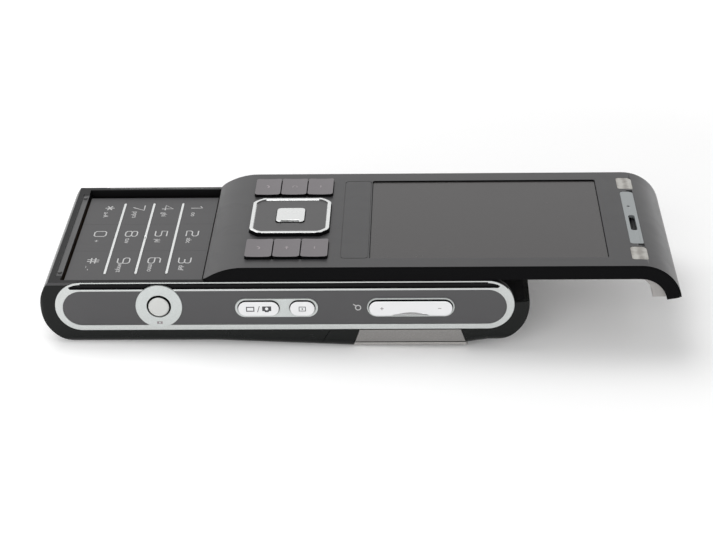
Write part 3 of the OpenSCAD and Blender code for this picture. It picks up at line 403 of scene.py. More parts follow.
# Each sign is made of drawings, and each drawing is an outline with its holes, in millimetres
SIGNS = {
    "dash": [[box_points(1.1, 0.22)]],
    "arrow": [[[(-0.7, 0), (-0.1, 0.5), (-0.1, 0.12), (0.7, 0.12), (0.7, -0.12), (-0.1, -0.12),
                (-0.1, -0.5)]]],
    "receiver": [[receiver()]],
    "film": [[box_points(1.75, 1.15), box_points(1.35, 0.72)]],
    "slash": [[[(-0.28, -0.7), (-0.14, -0.7), (0.28, 0.7), (0.14, 0.7)]]],
    "camera": [[[(-0.95, -0.65), (0.95, -0.65), (0.95, 0.45), (0.5, 0.45), (0.35, 0.7),
                 (-0.35, 0.7), (-0.5, 0.45), (-0.95, 0.45)], ring_points(0.36, (0, -0.08), 10)]],
    "view": [[box_points(1.5, 1.1), box_points(1.2, 0.8), ring_points(0.17, count=10)]],
    "magnifier": [[ring_points(0.66), ring_points(0.44)],
                  [[(0.4, -0.52), (0.52, -0.38), (1.1, -0.72), (1.0, -0.9)]]],
    "plus": [[box_points(0.7, 0.14)], [box_points(0.14, 0.7)]],
    "minus": [[box_points(0.7, 0.14)]],
    "pierced box": [[box_points(1.2, 0.6), ring_points(0.2, count=10)]],
}


def sign(kind, depth):
    """One of the signs, or else a letter, as a flat mesh."""
    if kind not in SIGNS:
        return printed_text(kind, 1.2 * MM, 1.0, depth)
    drawings = [[[(x * MM, y * MM) for x, y in outline] for outline in drawing]
                for drawing in SIGNS[kind]]
    return join([printed_shape(outlines, depth) for outlines in drawings], "sign")


# ---- materials


def new_group(name, inputs, outputs):
    """A shader node group whose Colour sockets hold colours and whose others hold numbers.

    Returns the group, the sockets of its inputs and the node that ends it.
    """
    group = bpy.data.node_groups.new(name, "ShaderNodeTree")

    def socket(label, side):
        kind = "NodeSocketColor" if label == "Colour" else "NodeSocketFloat"
        return group.interface.new_socket(name=label, in_out=side, socket_type=kind)

    for label, value in inputs.items():
        socket(label, "INPUT").default_value = value
    for label in outputs:
        socket(label, "OUTPUT")
    return group, group.nodes.new("NodeGroupInput").outputs, group.nodes.new("NodeGroupOutput")


def fill(tree, node, *pairs):
    """Sets a node's properties and sockets, and links the sockets given another node's output."""
    for key, value in pairs:
        if isinstance(value, bpy.types.NodeSocket):
            tree.links.new(value, node.inputs[key])
        elif isinstance(key, str) and hasattr(node, key):
            setattr(node, key, value)
        else:
            node.inputs[key].default_value = value
    return node


def add(tree, kind, *pairs):
    """Adds a shader node and fills it."""
    return fill(tree, tree.nodes.new("ShaderNode" + kind), *pairs)


def calc(tree, operation, *values, clamp=False):
    """The result of a Math node."""
    pairs = enumerate(values)
    return add(tree, "Math", ("operation", operation), ("use_clamp", clamp), *pairs).outputs[0]


def remap(tree, value, low=0.0, high=1.0, to_low=0.0, to_high=1.0, curve="LINEAR"):
    """A value moved from one range to another and held inside it."""
    node = add(tree, "MapRange", ("interpolation_type", curve), ("Value", value), ("From Min", low),
               ("From Max", high), ("To Min", to_low), ("To Max", to_high))
    return node.outputs["Result"]


def shaded(tree, tint, gain):
    """A colour made lighter or darker."""
    return add(tree, "VectorMath", ("operation", "SCALE"), (0, tint), ("Scale", gain)).outputs[0]


def noise(tree, place, scale, detail, *pairs):
    """Soft noise from 0 to 1."""
    return add(tree, "TexNoise", ("Vector", place), ("Scale", scale), ("Detail", detail),
               *pairs).outputs["Fac"]


def object_place(tree):
    """Object coordinates."""
    return add(tree, "TexCoord").outputs["Object"]


def moulded_grain():
    """Fine moulded texture: a colour that drifts slightly, and a grain for the surface."""
    group, ins, end = new_group(
        "Moulded Grain", {"Colour": (0.5, 0.5, 0.5, 1), "Drift": 0.05, "Grain Scale": 4000.0,
                          "Roughness": 0.4, "Spread": 0.05}, ("Colour", "Roughness", "Height"))
    place = object_place(group)
    grain = noise(group, place, ins["Grain Scale"], 3.0, ("Roughness", 0.6))
    cloud = noise(group, place, 60.0, 3.0)
    drift = calc(group, "MULTIPLY", ins["Drift"], 2.0)
    gain = calc(group, "MULTIPLY_ADD", calc(group, "SUBTRACT", cloud, 0.5), drift, 1.0)
    rough = calc(group, "MULTIPLY_ADD", calc(group, "SUBTRACT", grain, 0.5), ins["Spread"],
                 ins["Roughness"], clamp=True)
    fill(group, end, ("Colour", shaded(group, ins["Colour"], gain)), ("Roughness", rough),
         ("Height", grain))
    return group


def handling_marks():
    """Soft smears and hair scratches that a hand leaves, as a change of roughness."""
    group, ins, end = new_group(
        "Handling Marks", {"Roughness": 0.4, "Smear": 0.06, "Scratch": 0.05}, ("Roughness",))
    place = object_place(group)
    smear = remap(group, noise(group, place, 95.0, 4.0, ("Distortion", 1.5)), 0.45, 0.75)
    turned = add(group, "Mapping", ("Rotation", (0.3, 0.2, 0.7)), ("Scale", (90, 2200, 700)),
                 ("Vector", place))
    scratch = remap(group, noise(group, turned.outputs["Vector"], 1.0, 2.0), 0.66, 0.72)
    smeared = calc(group, "MULTIPLY_ADD", smear, ins["Smear"], ins["Roughness"])
    rough = calc(group, "MULTIPLY_ADD", scratch, ins["Scratch"], smeared, clamp=True)
    fill(group, end, ("Roughness", rough))
    return group


def metal_flake():
    """Fine metal flakes under paint: each cell a little lighter or darker."""
    group, ins, end = new_group(
        "Metal Flake", {"Colour": (0.6, 0.6, 0.6, 1), "Flake": 0.15, "Flake Scale": 9000.0},
        ("Colour", "Height"))
    cells = add(group, "TexVoronoi", ("Vector", object_place(group)), ("Scale", ins["Flake Scale"]))
    grey = add(group, "RGBToBW", ("Color", cells.outputs["Color"])).outputs[0]
    gain = calc(group, "MULTIPLY_ADD", calc(group, "SUBTRACT", grey, 0.5), ins["Flake"], 1.0)
    fill(group, end, ("Colour", shaded(group, ins["Colour"], gain)), ("Height", grey))
    return group


def brushed_lines():
    """Brushed metal: long fine lines along X."""
    group, ins, end = new_group(
        "Brushed Lines", {"Colour": (0.5, 0.5, 0.5, 1), "Contrast": 0.15, "Roughness": 0.35},
        ("Colour", "Roughness", "Height"))
    long = add(group, "Mapping", ("Scale", (60, 5200, 5200)), ("Vector", object_place(group)))
    lines = noise(group, long.outputs["Vector"], 1.0, 4.0)
    centred = calc(group, "SUBTRACT", lines, 0.5)
    gain = calc(group, "MULTIPLY_ADD", centred, ins["Contrast"], 1.0)
    rough = calc(group, "MULTIPLY_ADD", centred, 0.12, ins["Roughness"])
    fill(group, end, ("Colour", shaded(group, ins["Colour"], gain)), ("Roughness", rough),
         ("Height", lines))
    return group


GROUPS = {}


def placed(tree, maker, *pairs):
    """The outputs of a node group placed in a material. The group is made the first time."""
    if maker not in GROUPS:
        GROUPS[maker] = maker()
    node = tree.nodes.new("ShaderNodeGroup")
    node.node_tree = GROUPS[maker]
    return fill(tree, node, *pairs).outputs


def bare_material(name, *pairs):
    """A material, its node tree and its Principled shader, which is filled."""
    material = bpy.data.materials.new(name)
    material.use_nodes = True
    tree = material.node_tree
    return material, tree, fill(tree, tree.nodes["Principled BSDF"], *pairs)


def bumped(tree, shader, colour, rough, height, depth):
    """Feeds the shader its colour and roughness, and a height as deep as depth in metres."""
    relief = add(tree, "Bump", ("Strength", 1.0), ("Distance", depth), ("Height", height))
    fill(tree, shader, ("Base Color", colour), ("Roughness", rough),
         ("Normal", relief.outputs["Normal"]))


def plastic(name, tint, rough, grain=3500.0, depth=0.006 * MM, drift=0.05, spread=0.06,
            smear=0.05, scratch=0.03, gloss=0.5):
    """Moulded or painted plastic with its grain and a little handling."""
    material, tree, shader = bare_material(name, ("Specular IOR Level", gloss))
    skin = placed(tree, moulded_grain, ("Colour", (*tint, 1)), ("Drift", drift), ("Grain Scale", grain),
                  ("Roughness", rough), ("Spread", spread))
    marks = placed(tree, handling_marks, ("Smear", smear), ("Scratch", scratch),
                   ("Roughness", skin["Roughness"]))
    bumped(tree, shader, skin["Colour"], marks["Roughness"], skin["Height"], depth)
    return material


def flake_paint(name, tint, rough, flake=0.2, metallic=0.6):
    """Silver paint with fine flakes under a lacquer."""
    material, tree, shader = bare_material(name, ("Metallic", metallic))
    paint = placed(tree, metal_flake, ("Colour", (*tint, 1)), ("Flake", flake))
    marks = placed(tree, handling_marks, ("Roughness", rough), ("Smear", 0.05), ("Scratch", 0.04))
    bumped(tree, shader, paint["Colour"], marks["Roughness"], paint["Height"], 0.001 * MM)
    return material


def brushed_metal(name, tint, rough, contrast=0.2):
    """Brushed or stamped sheet metal."""
    material, tree, shader = bare_material(name, ("Metallic", 1.0))
    metal = placed(tree, brushed_lines, ("Colour", (*tint, 1)), ("Contrast", contrast),
                   ("Roughness", rough))
    bumped(tree, shader, metal["Colour"], metal["Roughness"], metal["Height"], 0.002 * MM)
    return material


# Painted light up the bezel's sides: where each change starts, and how much lighter it is than the
# paint: a lighter strip painted as highlight, then a dark line painted as shade, then the plain paint.
# All of them start below BEZEL_SPAN.
BEZEL_PAINTED_LIGHT = ((0.24 * MM, 1.9), (1.34 * MM, 0.05), (1.58 * MM, 1.0))
BEZEL_SPAN = 2 * MM


def lined(material):
    """Paints a dark line low on the bezel's sides as shade, with a lighter strip under it painted as
    highlight.
    """
    tree = material.node_tree
    shader = tree.nodes["Principled BSDF"]
    paint = shader.inputs["Base Color"].links[0].from_socket
    height = add(tree, "SeparateXYZ", ("Vector", object_place(tree))).outputs["Z"]
    ramp = add(tree, "ValToRGB", ("Fac", remap(tree, height, high=BEZEL_SPAN)))
    steps = ramp.color_ramp
    steps.interpolation = "CONSTANT"
    steps.elements.remove(steps.elements[1])
    steps.elements[0].color = (1, 1, 1, 1)
    for start, gain in BEZEL_PAINTED_LIGHT:
        steps.elements.new(start / BEZEL_SPAN).color = (gain, gain, gain, 1)
    shade = add(tree, "VectorMath", ("operation", "MULTIPLY"), (0, paint), (1, ramp.outputs["Color"]))
    fill(tree, shader, ("Base Color", shade.outputs[0]))
    return material


def screen_glass(name, tint):
    """Clear window bonded over a dark screen: a faint grid of cells far under a smooth coat."""
    material, tree, shader = bare_material(name, ("Specular IOR Level", 0.4))
    cells = add(tree, "TexVoronoi", ("Scale", 5500.0), ("Randomness", 0.0),
                ("Vector", object_place(tree)))
    grid = remap(tree, cells.outputs["Distance"], 0.0, 0.7, 0.94, 1.04)
    marks = placed(tree, handling_marks, ("Roughness", 0.22), ("Smear", 0.06), ("Scratch", 0.03))
    fill(tree, shader, ("Base Color", shaded(tree, tint, grid)), ("Roughness", marks["Roughness"]))
    return material


def sensor_glass(name):
    """Milky window over a sensor, with soft stripes across it."""
    radians_per_metre, wave_share = 2800.0, 0.22
    material, tree, shader = bare_material(name, ("Specular IOR Level", 0.5), ("Roughness", 0.2))
    place = object_place(tree)
    along = add(tree, "SeparateXYZ", ("Vector", place)).outputs["X"]
    wave = calc(tree, "COSINE", calc(tree, "MULTIPLY", along, radians_per_metre))
    both = calc(tree, "MULTIPLY_ADD", wave, wave_share, noise(tree, place, 500.0, 1.0))
    ramp = add(tree, "ValToRGB", ("Fac", both))
    dark, light = ramp.color_ramp.elements
    dark.position, dark.color = 0.25, (0.24, 0.225, 0.205, 1)
    light.position, light.color = 0.75, (0.42, 0.41, 0.38, 1)
    fill(tree, shader, ("Base Color", ramp.outputs["Color"]))
    return material


def lens_coat(name):
    """Coated glass."""
    material, tree, shader = bare_material(
        name, ("Transmission Weight", 0.9), ("Roughness", 0.02), ("IOR", 1.5))
    tone = remap(tree, noise(tree, object_place(tree), 200.0, 2.0), to_low=0.75, to_high=0.9)
    tint = add(tree, "CombineColor", ("Red", tone), ("Green", tone), ("Blue", 0.95))
    fill(tree, shader, ("Base Color", tint.outputs["Color"]))
    return material


MATERIALS = {}


def finish(name):
    """The phone's finishes by name, each made once."""
    if name in MATERIALS:
        return MATERIALS[name]
    c = bpy.context.scene.phone_colours
    satin = {"grain": 6000, "depth": 0.002 * MM}
    even = {"spread": 0.02, "smear": 0.0, "scratch": 0.01}
    makers = {
        "front satin": lambda: plastic(name, c.front, 0.34, gloss=0.36, **satin),
        # Black of the slider's edge and of key sides and skirts, also used for black pieces painted as
        # shade
        "edge black": lambda: plastic(name, c.band_black, 0.3, depth=0.001 * MM, gloss=0.05),
        "casing black": lambda: plastic(name, c.casing, 0.24, depth=0.0015 * MM, gloss=0.2),
        "inner black": lambda: plastic(name, (0.004, 0.004, 0.0045), 0.45, grain=2500, depth=0.01 * MM,
                                       gloss=0.15),
        "rail grey": lambda: plastic(name, (0.046, 0.046, 0.047), 0.42, grain=3000),
        "side satin": lambda: plastic(name, c.side, 0.36, **satin),
        "trim silver": lambda: flake_paint(name, c.silver, 0.3),
        "ring silver": lambda: flake_paint(name, (0.62, 0.65, 0.64), 0.34, metallic=0.35),
        "side key silver": lambda: plastic(name, c.side_keys, 0.22, drift=0.015, **even),
        "button silver": lambda: plastic(name, (0.70, 0.71, 0.69), 0.25, drift=0.02, **even),
        "keypad grey": lambda: plastic(name, c.keypad, 0.3, grain=5000, depth=0.002 * MM, gloss=0.42),
        "keypad print": lambda: plastic(name, c.marks, 0.5, drift=0.08),
        "dark print": lambda: plastic(name, (0.05, 0.05, 0.055), 0.5),
        "faint print": lambda: plastic(name, (0.30, 0.27, 0.28), 0.5),
        "function grey": lambda: plastic(name, c.function, 0.3, **satin),
        "navigation grey": lambda: plastic(name, c.navigation, 0.32, gloss=0.38, **satin),
        "bright silver": lambda: flake_paint(name, (0.70, 0.71, 0.705), 0.26, 0.06, 0.4),
        "bezel grey": lambda: flake_paint(name, c.bezel, 0.34, 0.3, 0.55),
        # Bezel paint with a dark line painted as shade and a lighter strip painted as highlight, low on
        # its sides
        "bezel lined": lambda: lined(flake_paint(name, c.bezel, 0.34, 0.3, 0.55)),
        "liner grey": lambda: flake_paint(name, c.liner, 0.45, 0.12, 0.2),
        "ear silver": lambda: flake_paint(name, (0.27, 0.29, 0.295), 0.3, 0.1, 0.4),
        "sensor milk": lambda: sensor_glass(name),
        "screen glass": lambda: screen_glass(name, c.screen),
        "steel": lambda: brushed_metal(name, (0.50, 0.51, 0.52), 0.32),
        "gold": lambda: brushed_metal(name, (0.80, 0.58, 0.25), 0.3, 0.1),
        "board green": lambda: plastic(name, (0.012, 0.09, 0.035), 0.35, grain=900, depth=0.01 * MM),
        "dome amber": lambda: plastic(name, (0.30, 0.14, 0.03), 0.3, drift=0.12),
        "battery wrap": lambda: plastic(name, (0.05, 0.055, 0.065), 0.42, drift=0.08),
        "optics black": lambda: plastic(name, (0.006, 0.006, 0.007), 0.5),
        "lens coat": lambda: lens_coat(name),
        "flash white": lambda: plastic(name, (0.80, 0.80, 0.77), 0.2, drift=0.04),
    }
    MATERIALS[name] = makers[name]()
    return MATERIALS[name]


def sizes():
    """The size settings."""
    return bpy.context.scene.phone_sizes


# ---- slider


class SliderShells(bpy.types.Operator):
    """Front plate, black frame and cover under the slider"""

    bl_idname = "phone.slider_shells"
    bl_label = "Slider Shells"

    def execute(self, context):
        edge = sizes().shell_edge
        front = dress("front_plate", None, edge)
        two_tone(front, "front satin", "edge black", lambda centre, normal: abs(normal.y) < 0.5)
        dress("slider_frame", "edge black", edge, whole=False)
        dress("slider_back_cover", "liner grey", edge)
        dress("slide_plate", "steel", sizes().hairline)
        return {"FINISHED"}


class Screen(bpy.types.Operator):
    """Window over the screen"""

    bl_idname = "phone.screen"
    bl_label = "Screen"

    def execute(self, context):
        dress("display_window", "screen glass", sizes().hairline)
        return {"FINISHED"}


class Earpiece(bpy.types.Operator):
    """Earpiece strip with black strips at its ends, painted as the shade in the gaps there, and the two
    light windows beside it
    """

    bl_idname = "phone.earpiece"
    bl_label = "Earpiece"

    def execute(self, context):
        dress("ear_grille", "ear silver", sizes().hairline)
        dress("sensor_windows", "sensor milk", sizes().hairline)
        low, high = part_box("ear_grille")
        # Black strips laid on the front beside the strip: painted shade where the gaps are
        away, width, proud = 0.1 * MM, 0.75 * MM, 0.02 * MM
        for side, y0 in (("far", high.y + away), ("near", low.y - away - width)):
            gap = block("ear_gap_" + side, (low.x, y0, low.z), (high.x, y0 + width, high.z + proud))
            modifier(gap, "SHRINKWRAP", target=frame["nodes"]["front_plate"], wrap_method="PROJECT",
                     use_project_z=True)
            seat_print(gap, "ear_grille", "edge black")
        return {"FINISHED"}


def clipped_plate(name, low, high, clip):
    """A plate with its upright corners clipped, and the clips' own corners rounded."""
    rounding = clip * 0.45
    piece = block(name, low, high)
    round_edges(piece, upright, clip, 1)
    round_edges(piece, upright, rounding, 4)
    return piece


# Flange round the navigation and select keys, under the front
FLANGE = 0.4 * MM


class NavigationKey(bpy.types.Operator):
    """Navigation key with its bright band, and the select key in its middle"""

    bl_idname = "phone.navigation_key"
    bl_label = "Navigation Key"

    def execute(self, context):
        s = sizes()
        low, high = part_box("nav_key")
        inner_low, inner_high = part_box("select_key")
        low = Vector((low.x + FLANGE, low.y + FLANGE, low.z))
        high = Vector((high.x - FLANGE, high.y - FLANGE, high.z))
        self.make_outer(low, high, inner_low, inner_high, s)
        self.make_select(inner_low, inner_high, high.z)
        return {"FINISHED"}

    def make_outer(self, low, high, inner_low, inner_high, s):
        """The outer key: a bright band round a sunk face, with a hole for the select key."""
        top, slope, sink, lap = high.z, 0.12 * MM, 0.22 * MM, 0.25 * MM
        piece = clipped_plate("navigation_key", low, high, s.corner_cut)
        in_edit(piece, "FACE", lambda centre, normal: normal.z > 0.9)
        bpy.ops.mesh.inset(thickness=s.band)
        bpy.ops.mesh.inset(thickness=slope, depth=-sink)
        out_of_edit()
        round_edges(piece, lambda a, b: min(a.z, b.z) > top - TOUCH and on_rim(a, b, low, high, s),
                    slope, 2)
        hole = block("navigation_hole", (inner_low.x + lap, inner_low.y + lap, low.z - MM),
                     (inner_high.x - lap, inner_high.y - lap, high.z + MM))
        round_edges(hole, upright, 0.8 * MM, 4)
        cut(piece, hole)

        names = ("navigation grey", "bright silver", "edge black")
        grey, silver, black = (finish(name) for name in names)
        coat(piece, black, silver, grey)
        for face in piece.data.polygons:
            spot = face.center
            inward = min(spot.x - low.x, high.x - spot.x, spot.y - low.y, high.y - spot.y)
            sunk = inward > s.band + slope / 2 and spot.z < top - 0.05 * MM
            face.material_index = 0 if face.normal.z <= 0.3 else 2 if sunk else 1
        smooth(piece)
        seat(piece, "nav_key")

    def make_select(self, low, high, top):
        """The select key: a bright cap with a notch in its near edge."""
        corner, inset, near, cap = 0.95 * MM, 1.5 * MM, low.y + FLANGE, top - 0.25 * MM
        key = block("select_key_dressed", (low.x + FLANGE, low.y + FLANGE, low.z),
                    (high.x - FLANGE, high.y - FLANGE, high.z))
        round_edges(key, upright, corner, 5)
        notch = block("select_notch", (low.x + inset, near - MM, top - 0.3 * MM),
                      (high.x - inset, near + 0.8 * MM, top + MM))
        round_edges(notch, upright, 0.25 * MM, 2)
        cut(key, notch)
        modifier(key, "BEVEL", width=0.2 * MM, segments=4, limit_method="ANGLE",
                 angle_limit=math.radians(50), use_clamp_overlap=True)
        two_tone(key, "bright silver", "edge black",
                 lambda centre, normal: centre.z > cap and normal.z > 0.2)
        smooth(key)
        seat(key, "select_key")


def on_rim(a, b, low, high, s):
    """True for an edge on the outer rim of the navigation key's top."""
    near_side, near_corner = 0.02 * MM, 0.3 * MM

    def out(p):
        edge = min(p.x - low.x, high.x - p.x, p.y - low.y, high.y - p.y)
        corner = (abs(p.x - (low.x + high.x) / 2) + abs(p.y - (low.y + high.y) / 2)
                  - (high.x - low.x) / 2 - (high.y - low.y) / 2 + s.corner_cut)
        return edge < near_side or corner > -near_corner

    return out(a) and out(b)


FUNCTION_KEYS = {
    "soft_key_left": "dash", "soft_key_right": "dash", "back_key": "arrow",
    "clear_key": "C", "call_key": "receiver", "end_key": "receiver",
}


class FunctionKeys(bpy.types.Operator):
    """The six keys beside the navigation key, grey caps on black skirts"""

    bl_idname = "phone.function_keys"
    bl_label = "Function Keys"

    def execute(self, context):
        s = sizes()
        cap, sink = 0.26 * MM, 0.1 * MM
        for node, mark in FUNCTION_KEYS.items():
            low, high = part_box(node)
            piece = dress(node, None, s.key_edge, 3)
            two_tone(piece, "function grey", "edge black",
                     lambda centre, normal: centre.z > high.z - cap)
            drawing = sign(mark, s.print_depth)
            drawing.name = node + "_mark"
            stand(drawing, ON_TOP, ((low.x + high.x) / 2, (low.y + high.y) / 2, high.z - sink))
            seat_print(drawing, node, "faint print")
        return {"FINISHED"}


# ---- keypad


KEYPAD = {
    "key_1": ("1", "oo"), "key_2": ("2", "abc"), "key_3": ("3", "def"),
    "key_4": ("4", "ghi"), "key_5": ("5", "jkl"), "key_6": ("6", "mno"),
    "key_7": ("7", "pqrs"), "key_8": ("8", "tuv"), "key_9": ("9", "wxyz"),
    "key_star": ("*", "a-A"), "key_0": ("0", "+"), "key_hash": ("#", "_ -"),
}
# Middle of the digits across the phone, for the near, middle and far columns
DIGIT_Y = {-1: -11.6 * MM, 0: 1.9 * MM, 1: 15.6 * MM}
COLUMN_PITCH = 13.6 * MM
# The end rows' keys are longer: how far their digits stand from the next row
END_ROW = 3.3 * MM
# The small letters' place from the digit: along the phone and across it
LETTERS_BACK = 0.5 * MM
LETTERS_BESIDE = 3.6 * MM
KEY_CORNER = 0.02 * MM


class Keypad(bpy.types.Operator):
    """The twelve keypad keys with their digits and small letters"""

    bl_idname = "phone.keypad"
    bl_label = "Keypad"

    def execute(self, context):
        s = sizes()
        for node, (digit, letters) in KEYPAD.items():
            low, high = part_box(node)
            dress(node, "keypad grey", KEY_CORNER, 1)
            across = DIGIT_Y[round((low.y + high.y) / 2 / COLUMN_PITCH)]
            row = (low.x + high.x) / 2
            if node in ("key_star", "key_0", "key_hash"):
                row = high.x - END_ROW
            elif node in ("key_1", "key_2", "key_3"):
                row = low.x + END_ROW
            main = printed_digit(digit, s.digit_height, s.stroke, s.print_depth)
            stand(main, ON_TOP, (row, across, high.z + s.print_depth / 4))
            small = printed_text(letters, s.letter_height, 1.12, s.print_depth)
            stand(small, ON_TOP, (row - LETTERS_BACK, across - LETTERS_BESIDE,
                                  high.z + s.print_depth / 2))
            seat_print(join([main, small], node + "_marks"), node, "keypad print")
        self.fill_gaps()
        return {"FINISHED"}

    def fill_gaps(self):
        """Thin fins between the keys, just under their tops, so that the gaps show as faint lines."""
        boxes = {node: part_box(node) for node in KEYPAD}
        low, high = boxes["key_hash"][0], boxes["key_1"][1]
        foot, top = high.z - 0.4 * MM, high.z - 0.012 * MM
        fins = [block("fin", (low.x, boxes[a][1].y, foot), (high.x, boxes[b][0].y, top))
                for a, b in (("key_3", "key_2"), ("key_2", "key_1"))]
        fins += [block("fin", (boxes[a][1].x, low.y, foot), (boxes[b][0].x, high.y, top))
                 for a, b in (("key_4", "key_1"), ("key_7", "key_4"), ("key_star", "key_7"))]
        seat_print(join(fins, "keypad_fins"), "keypad_strips", "keypad grey")


class KeypadStrips(bpy.types.Operator):
    """Bright strips between the rows, with round ends and a nick in the middle one"""

    bl_idname = "phone.keypad_strips"
    bl_label = "Keypad Strips"

    def execute(self, context):
        low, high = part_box("keypad_strips")
        width, rim, end = 0.55 * MM, 0.05 * MM, 10 * MM
        pitch = (high.x - low.x - width) / 2
        strips = []
        for i in range(3):
            x0 = low.x + i * pitch
            strip = block("strip", (x0, low.y, low.z), (x0 + width, high.y, high.z))
            if i == 1:
                self.nick(strip, high.z)
            round_edges(strip, lambda a, b: upright(a, b) and abs(a.y) > end, width * 0.48, 4)
            round_edges(strip, lambda a, b: min(a.z, b.z) > high.z - TOUCH and
                        abs(a.x - b.x) < width * 0.5, rim, 2)
            smooth(strip, 40)
            strips.append(strip)
        seat(join(strips, "keypad_strips_dressed"), "keypad_strips", "bright silver")
        return {"FINISHED"}

    def nick(self, strip, top):
        """Lowers the middle of a strip's top between two short slopes."""
        in_edit(strip, "EDGE", lambda a, b: abs(a.y - b.y) > MM)
        bpy.ops.mesh.subdivide(number_cuts=4)
        out_of_edit()
        outer, inner, depth = 1.0 * MM, 0.35 * MM, 0.14 * MM
        cuts = sorted({round(v.co.y, 7) for v in strip.data.vertices}, key=abs)[:4]
        moves = dict(zip(sorted(cuts), (-outer, -inner, inner, outer)))
        for vertex in strip.data.vertices:
            y = moves.get(round(vertex.co.y, 7))
            if y is not None:
                vertex.co.y = y
                if abs(y) < outer and vertex.co.z > top - TOUCH:
                    vertex.co.z -= depth


# ---- base


class BaseShells(bpy.types.Operator):
    """Housing with the keypad pocket and rails, battery cover and camera housing"""

    bl_idname = "phone.base_shells"
    bl_label = "Base Shells"

    def execute(self, context):
        edge = sizes().shell_edge
        dress("battery_cover", "casing black", edge)
        dress("camera_housing", "casing black", edge)
        dress("rear_frame", "inner black", sizes().hairline)
        housing = dress("main_housing", "inner black", edge * 0.6)
        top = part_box("main_housing")[1].z
        rails, keypad_end = 0.75 * MM, -60 * MM
        two_tone(housing, "rail grey", "inner black",
                 lambda centre, normal: centre.z > top - rails and centre.x < keypad_end)
        return {"FINISHED"}


class SideTrims(bpy.types.Operator):
    """Silver rings and dark panels along both sides, with painted shade in the rings' slots and on
    their upper bars
    """

    bl_idname = "phone.side_trims"
    bl_label = "Side Trims"

    def execute(self, context):
        trims = dress("side_trims", None, sizes().hairline)
        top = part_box("side_trims")[1].z
        bar, upper_bar, outer = 1.8 * MM, 0.5 * MM, 24 * MM
        # Near the top, faces that don't face sideways are black: painted shade inside the slot and
        # along the bar's top
        two_tone(trims, "trim silver", "edge black",
                 lambda centre, normal: centre.z < top - bar or abs(normal.y) > 0.5)
        # Black strips over the lower half of each upper bar, the length of the slot: painted shade,
        # which leaves the bar's lit edge a thin line
        corners = [v.co for v in frame["nodes"]["side_trims"].data.vertices]
        ends = [co.x for co in corners
                if abs(co.z - top + upper_bar) < 0.02 * MM and abs(co.y) > outer]
        low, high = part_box("side_trims")
        thin, foot, head = 0.015 * MM, top - 0.53 * MM, top - 0.26 * MM
        painted_shades = [block("trim_shade", (min(ends), y - thin, foot), (max(ends), y + thin, head))
                  for y in (low.y, high.y)]
        seat_print(join(painted_shades, "side_trims_shade"), "side_trims", "edge black")
        dress("side_panels", "side satin", sizes().hairline)
        return {"FINISHED"}


def side_print(name, node, shade, marks, face, height):
    """Prints signs on a side face. marks holds each sign's kind and its place along the phone."""
    depth = sizes().print_depth
    drawings = []
    for kind, x in marks:
        drawings.append(sign(kind, depth))
        stand(drawings[-1], ON_SIDE, (x, face - depth / 2, height))
    seat_print(join(drawings, name), node, shade)


def bright_face_painted_gap_shade(piece, node, name="side key silver"):
    """Gives a side key its bright face, and black sides painted as the shade in the gap round it, which
    show as a line round it.
    """
    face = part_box(node)[0].y
    cap = 0.7 * MM
    # Faces other than the key's front are black: painted shade in the gap round the key
    two_tone(piece, name, "edge black",
             lambda centre, normal: normal.y < -0.35 and centre.y < face + cap)


# The scoop in the zoom rocker's lower edge: its radius, its height there and how deep it cuts
SCOOP_R = 12.2 * MM
SCOOP_RISE = 0.72 * MM
SCOOP_DEPTH = 0.5 * MM
ROCKER_EDGE = 0.16 * MM


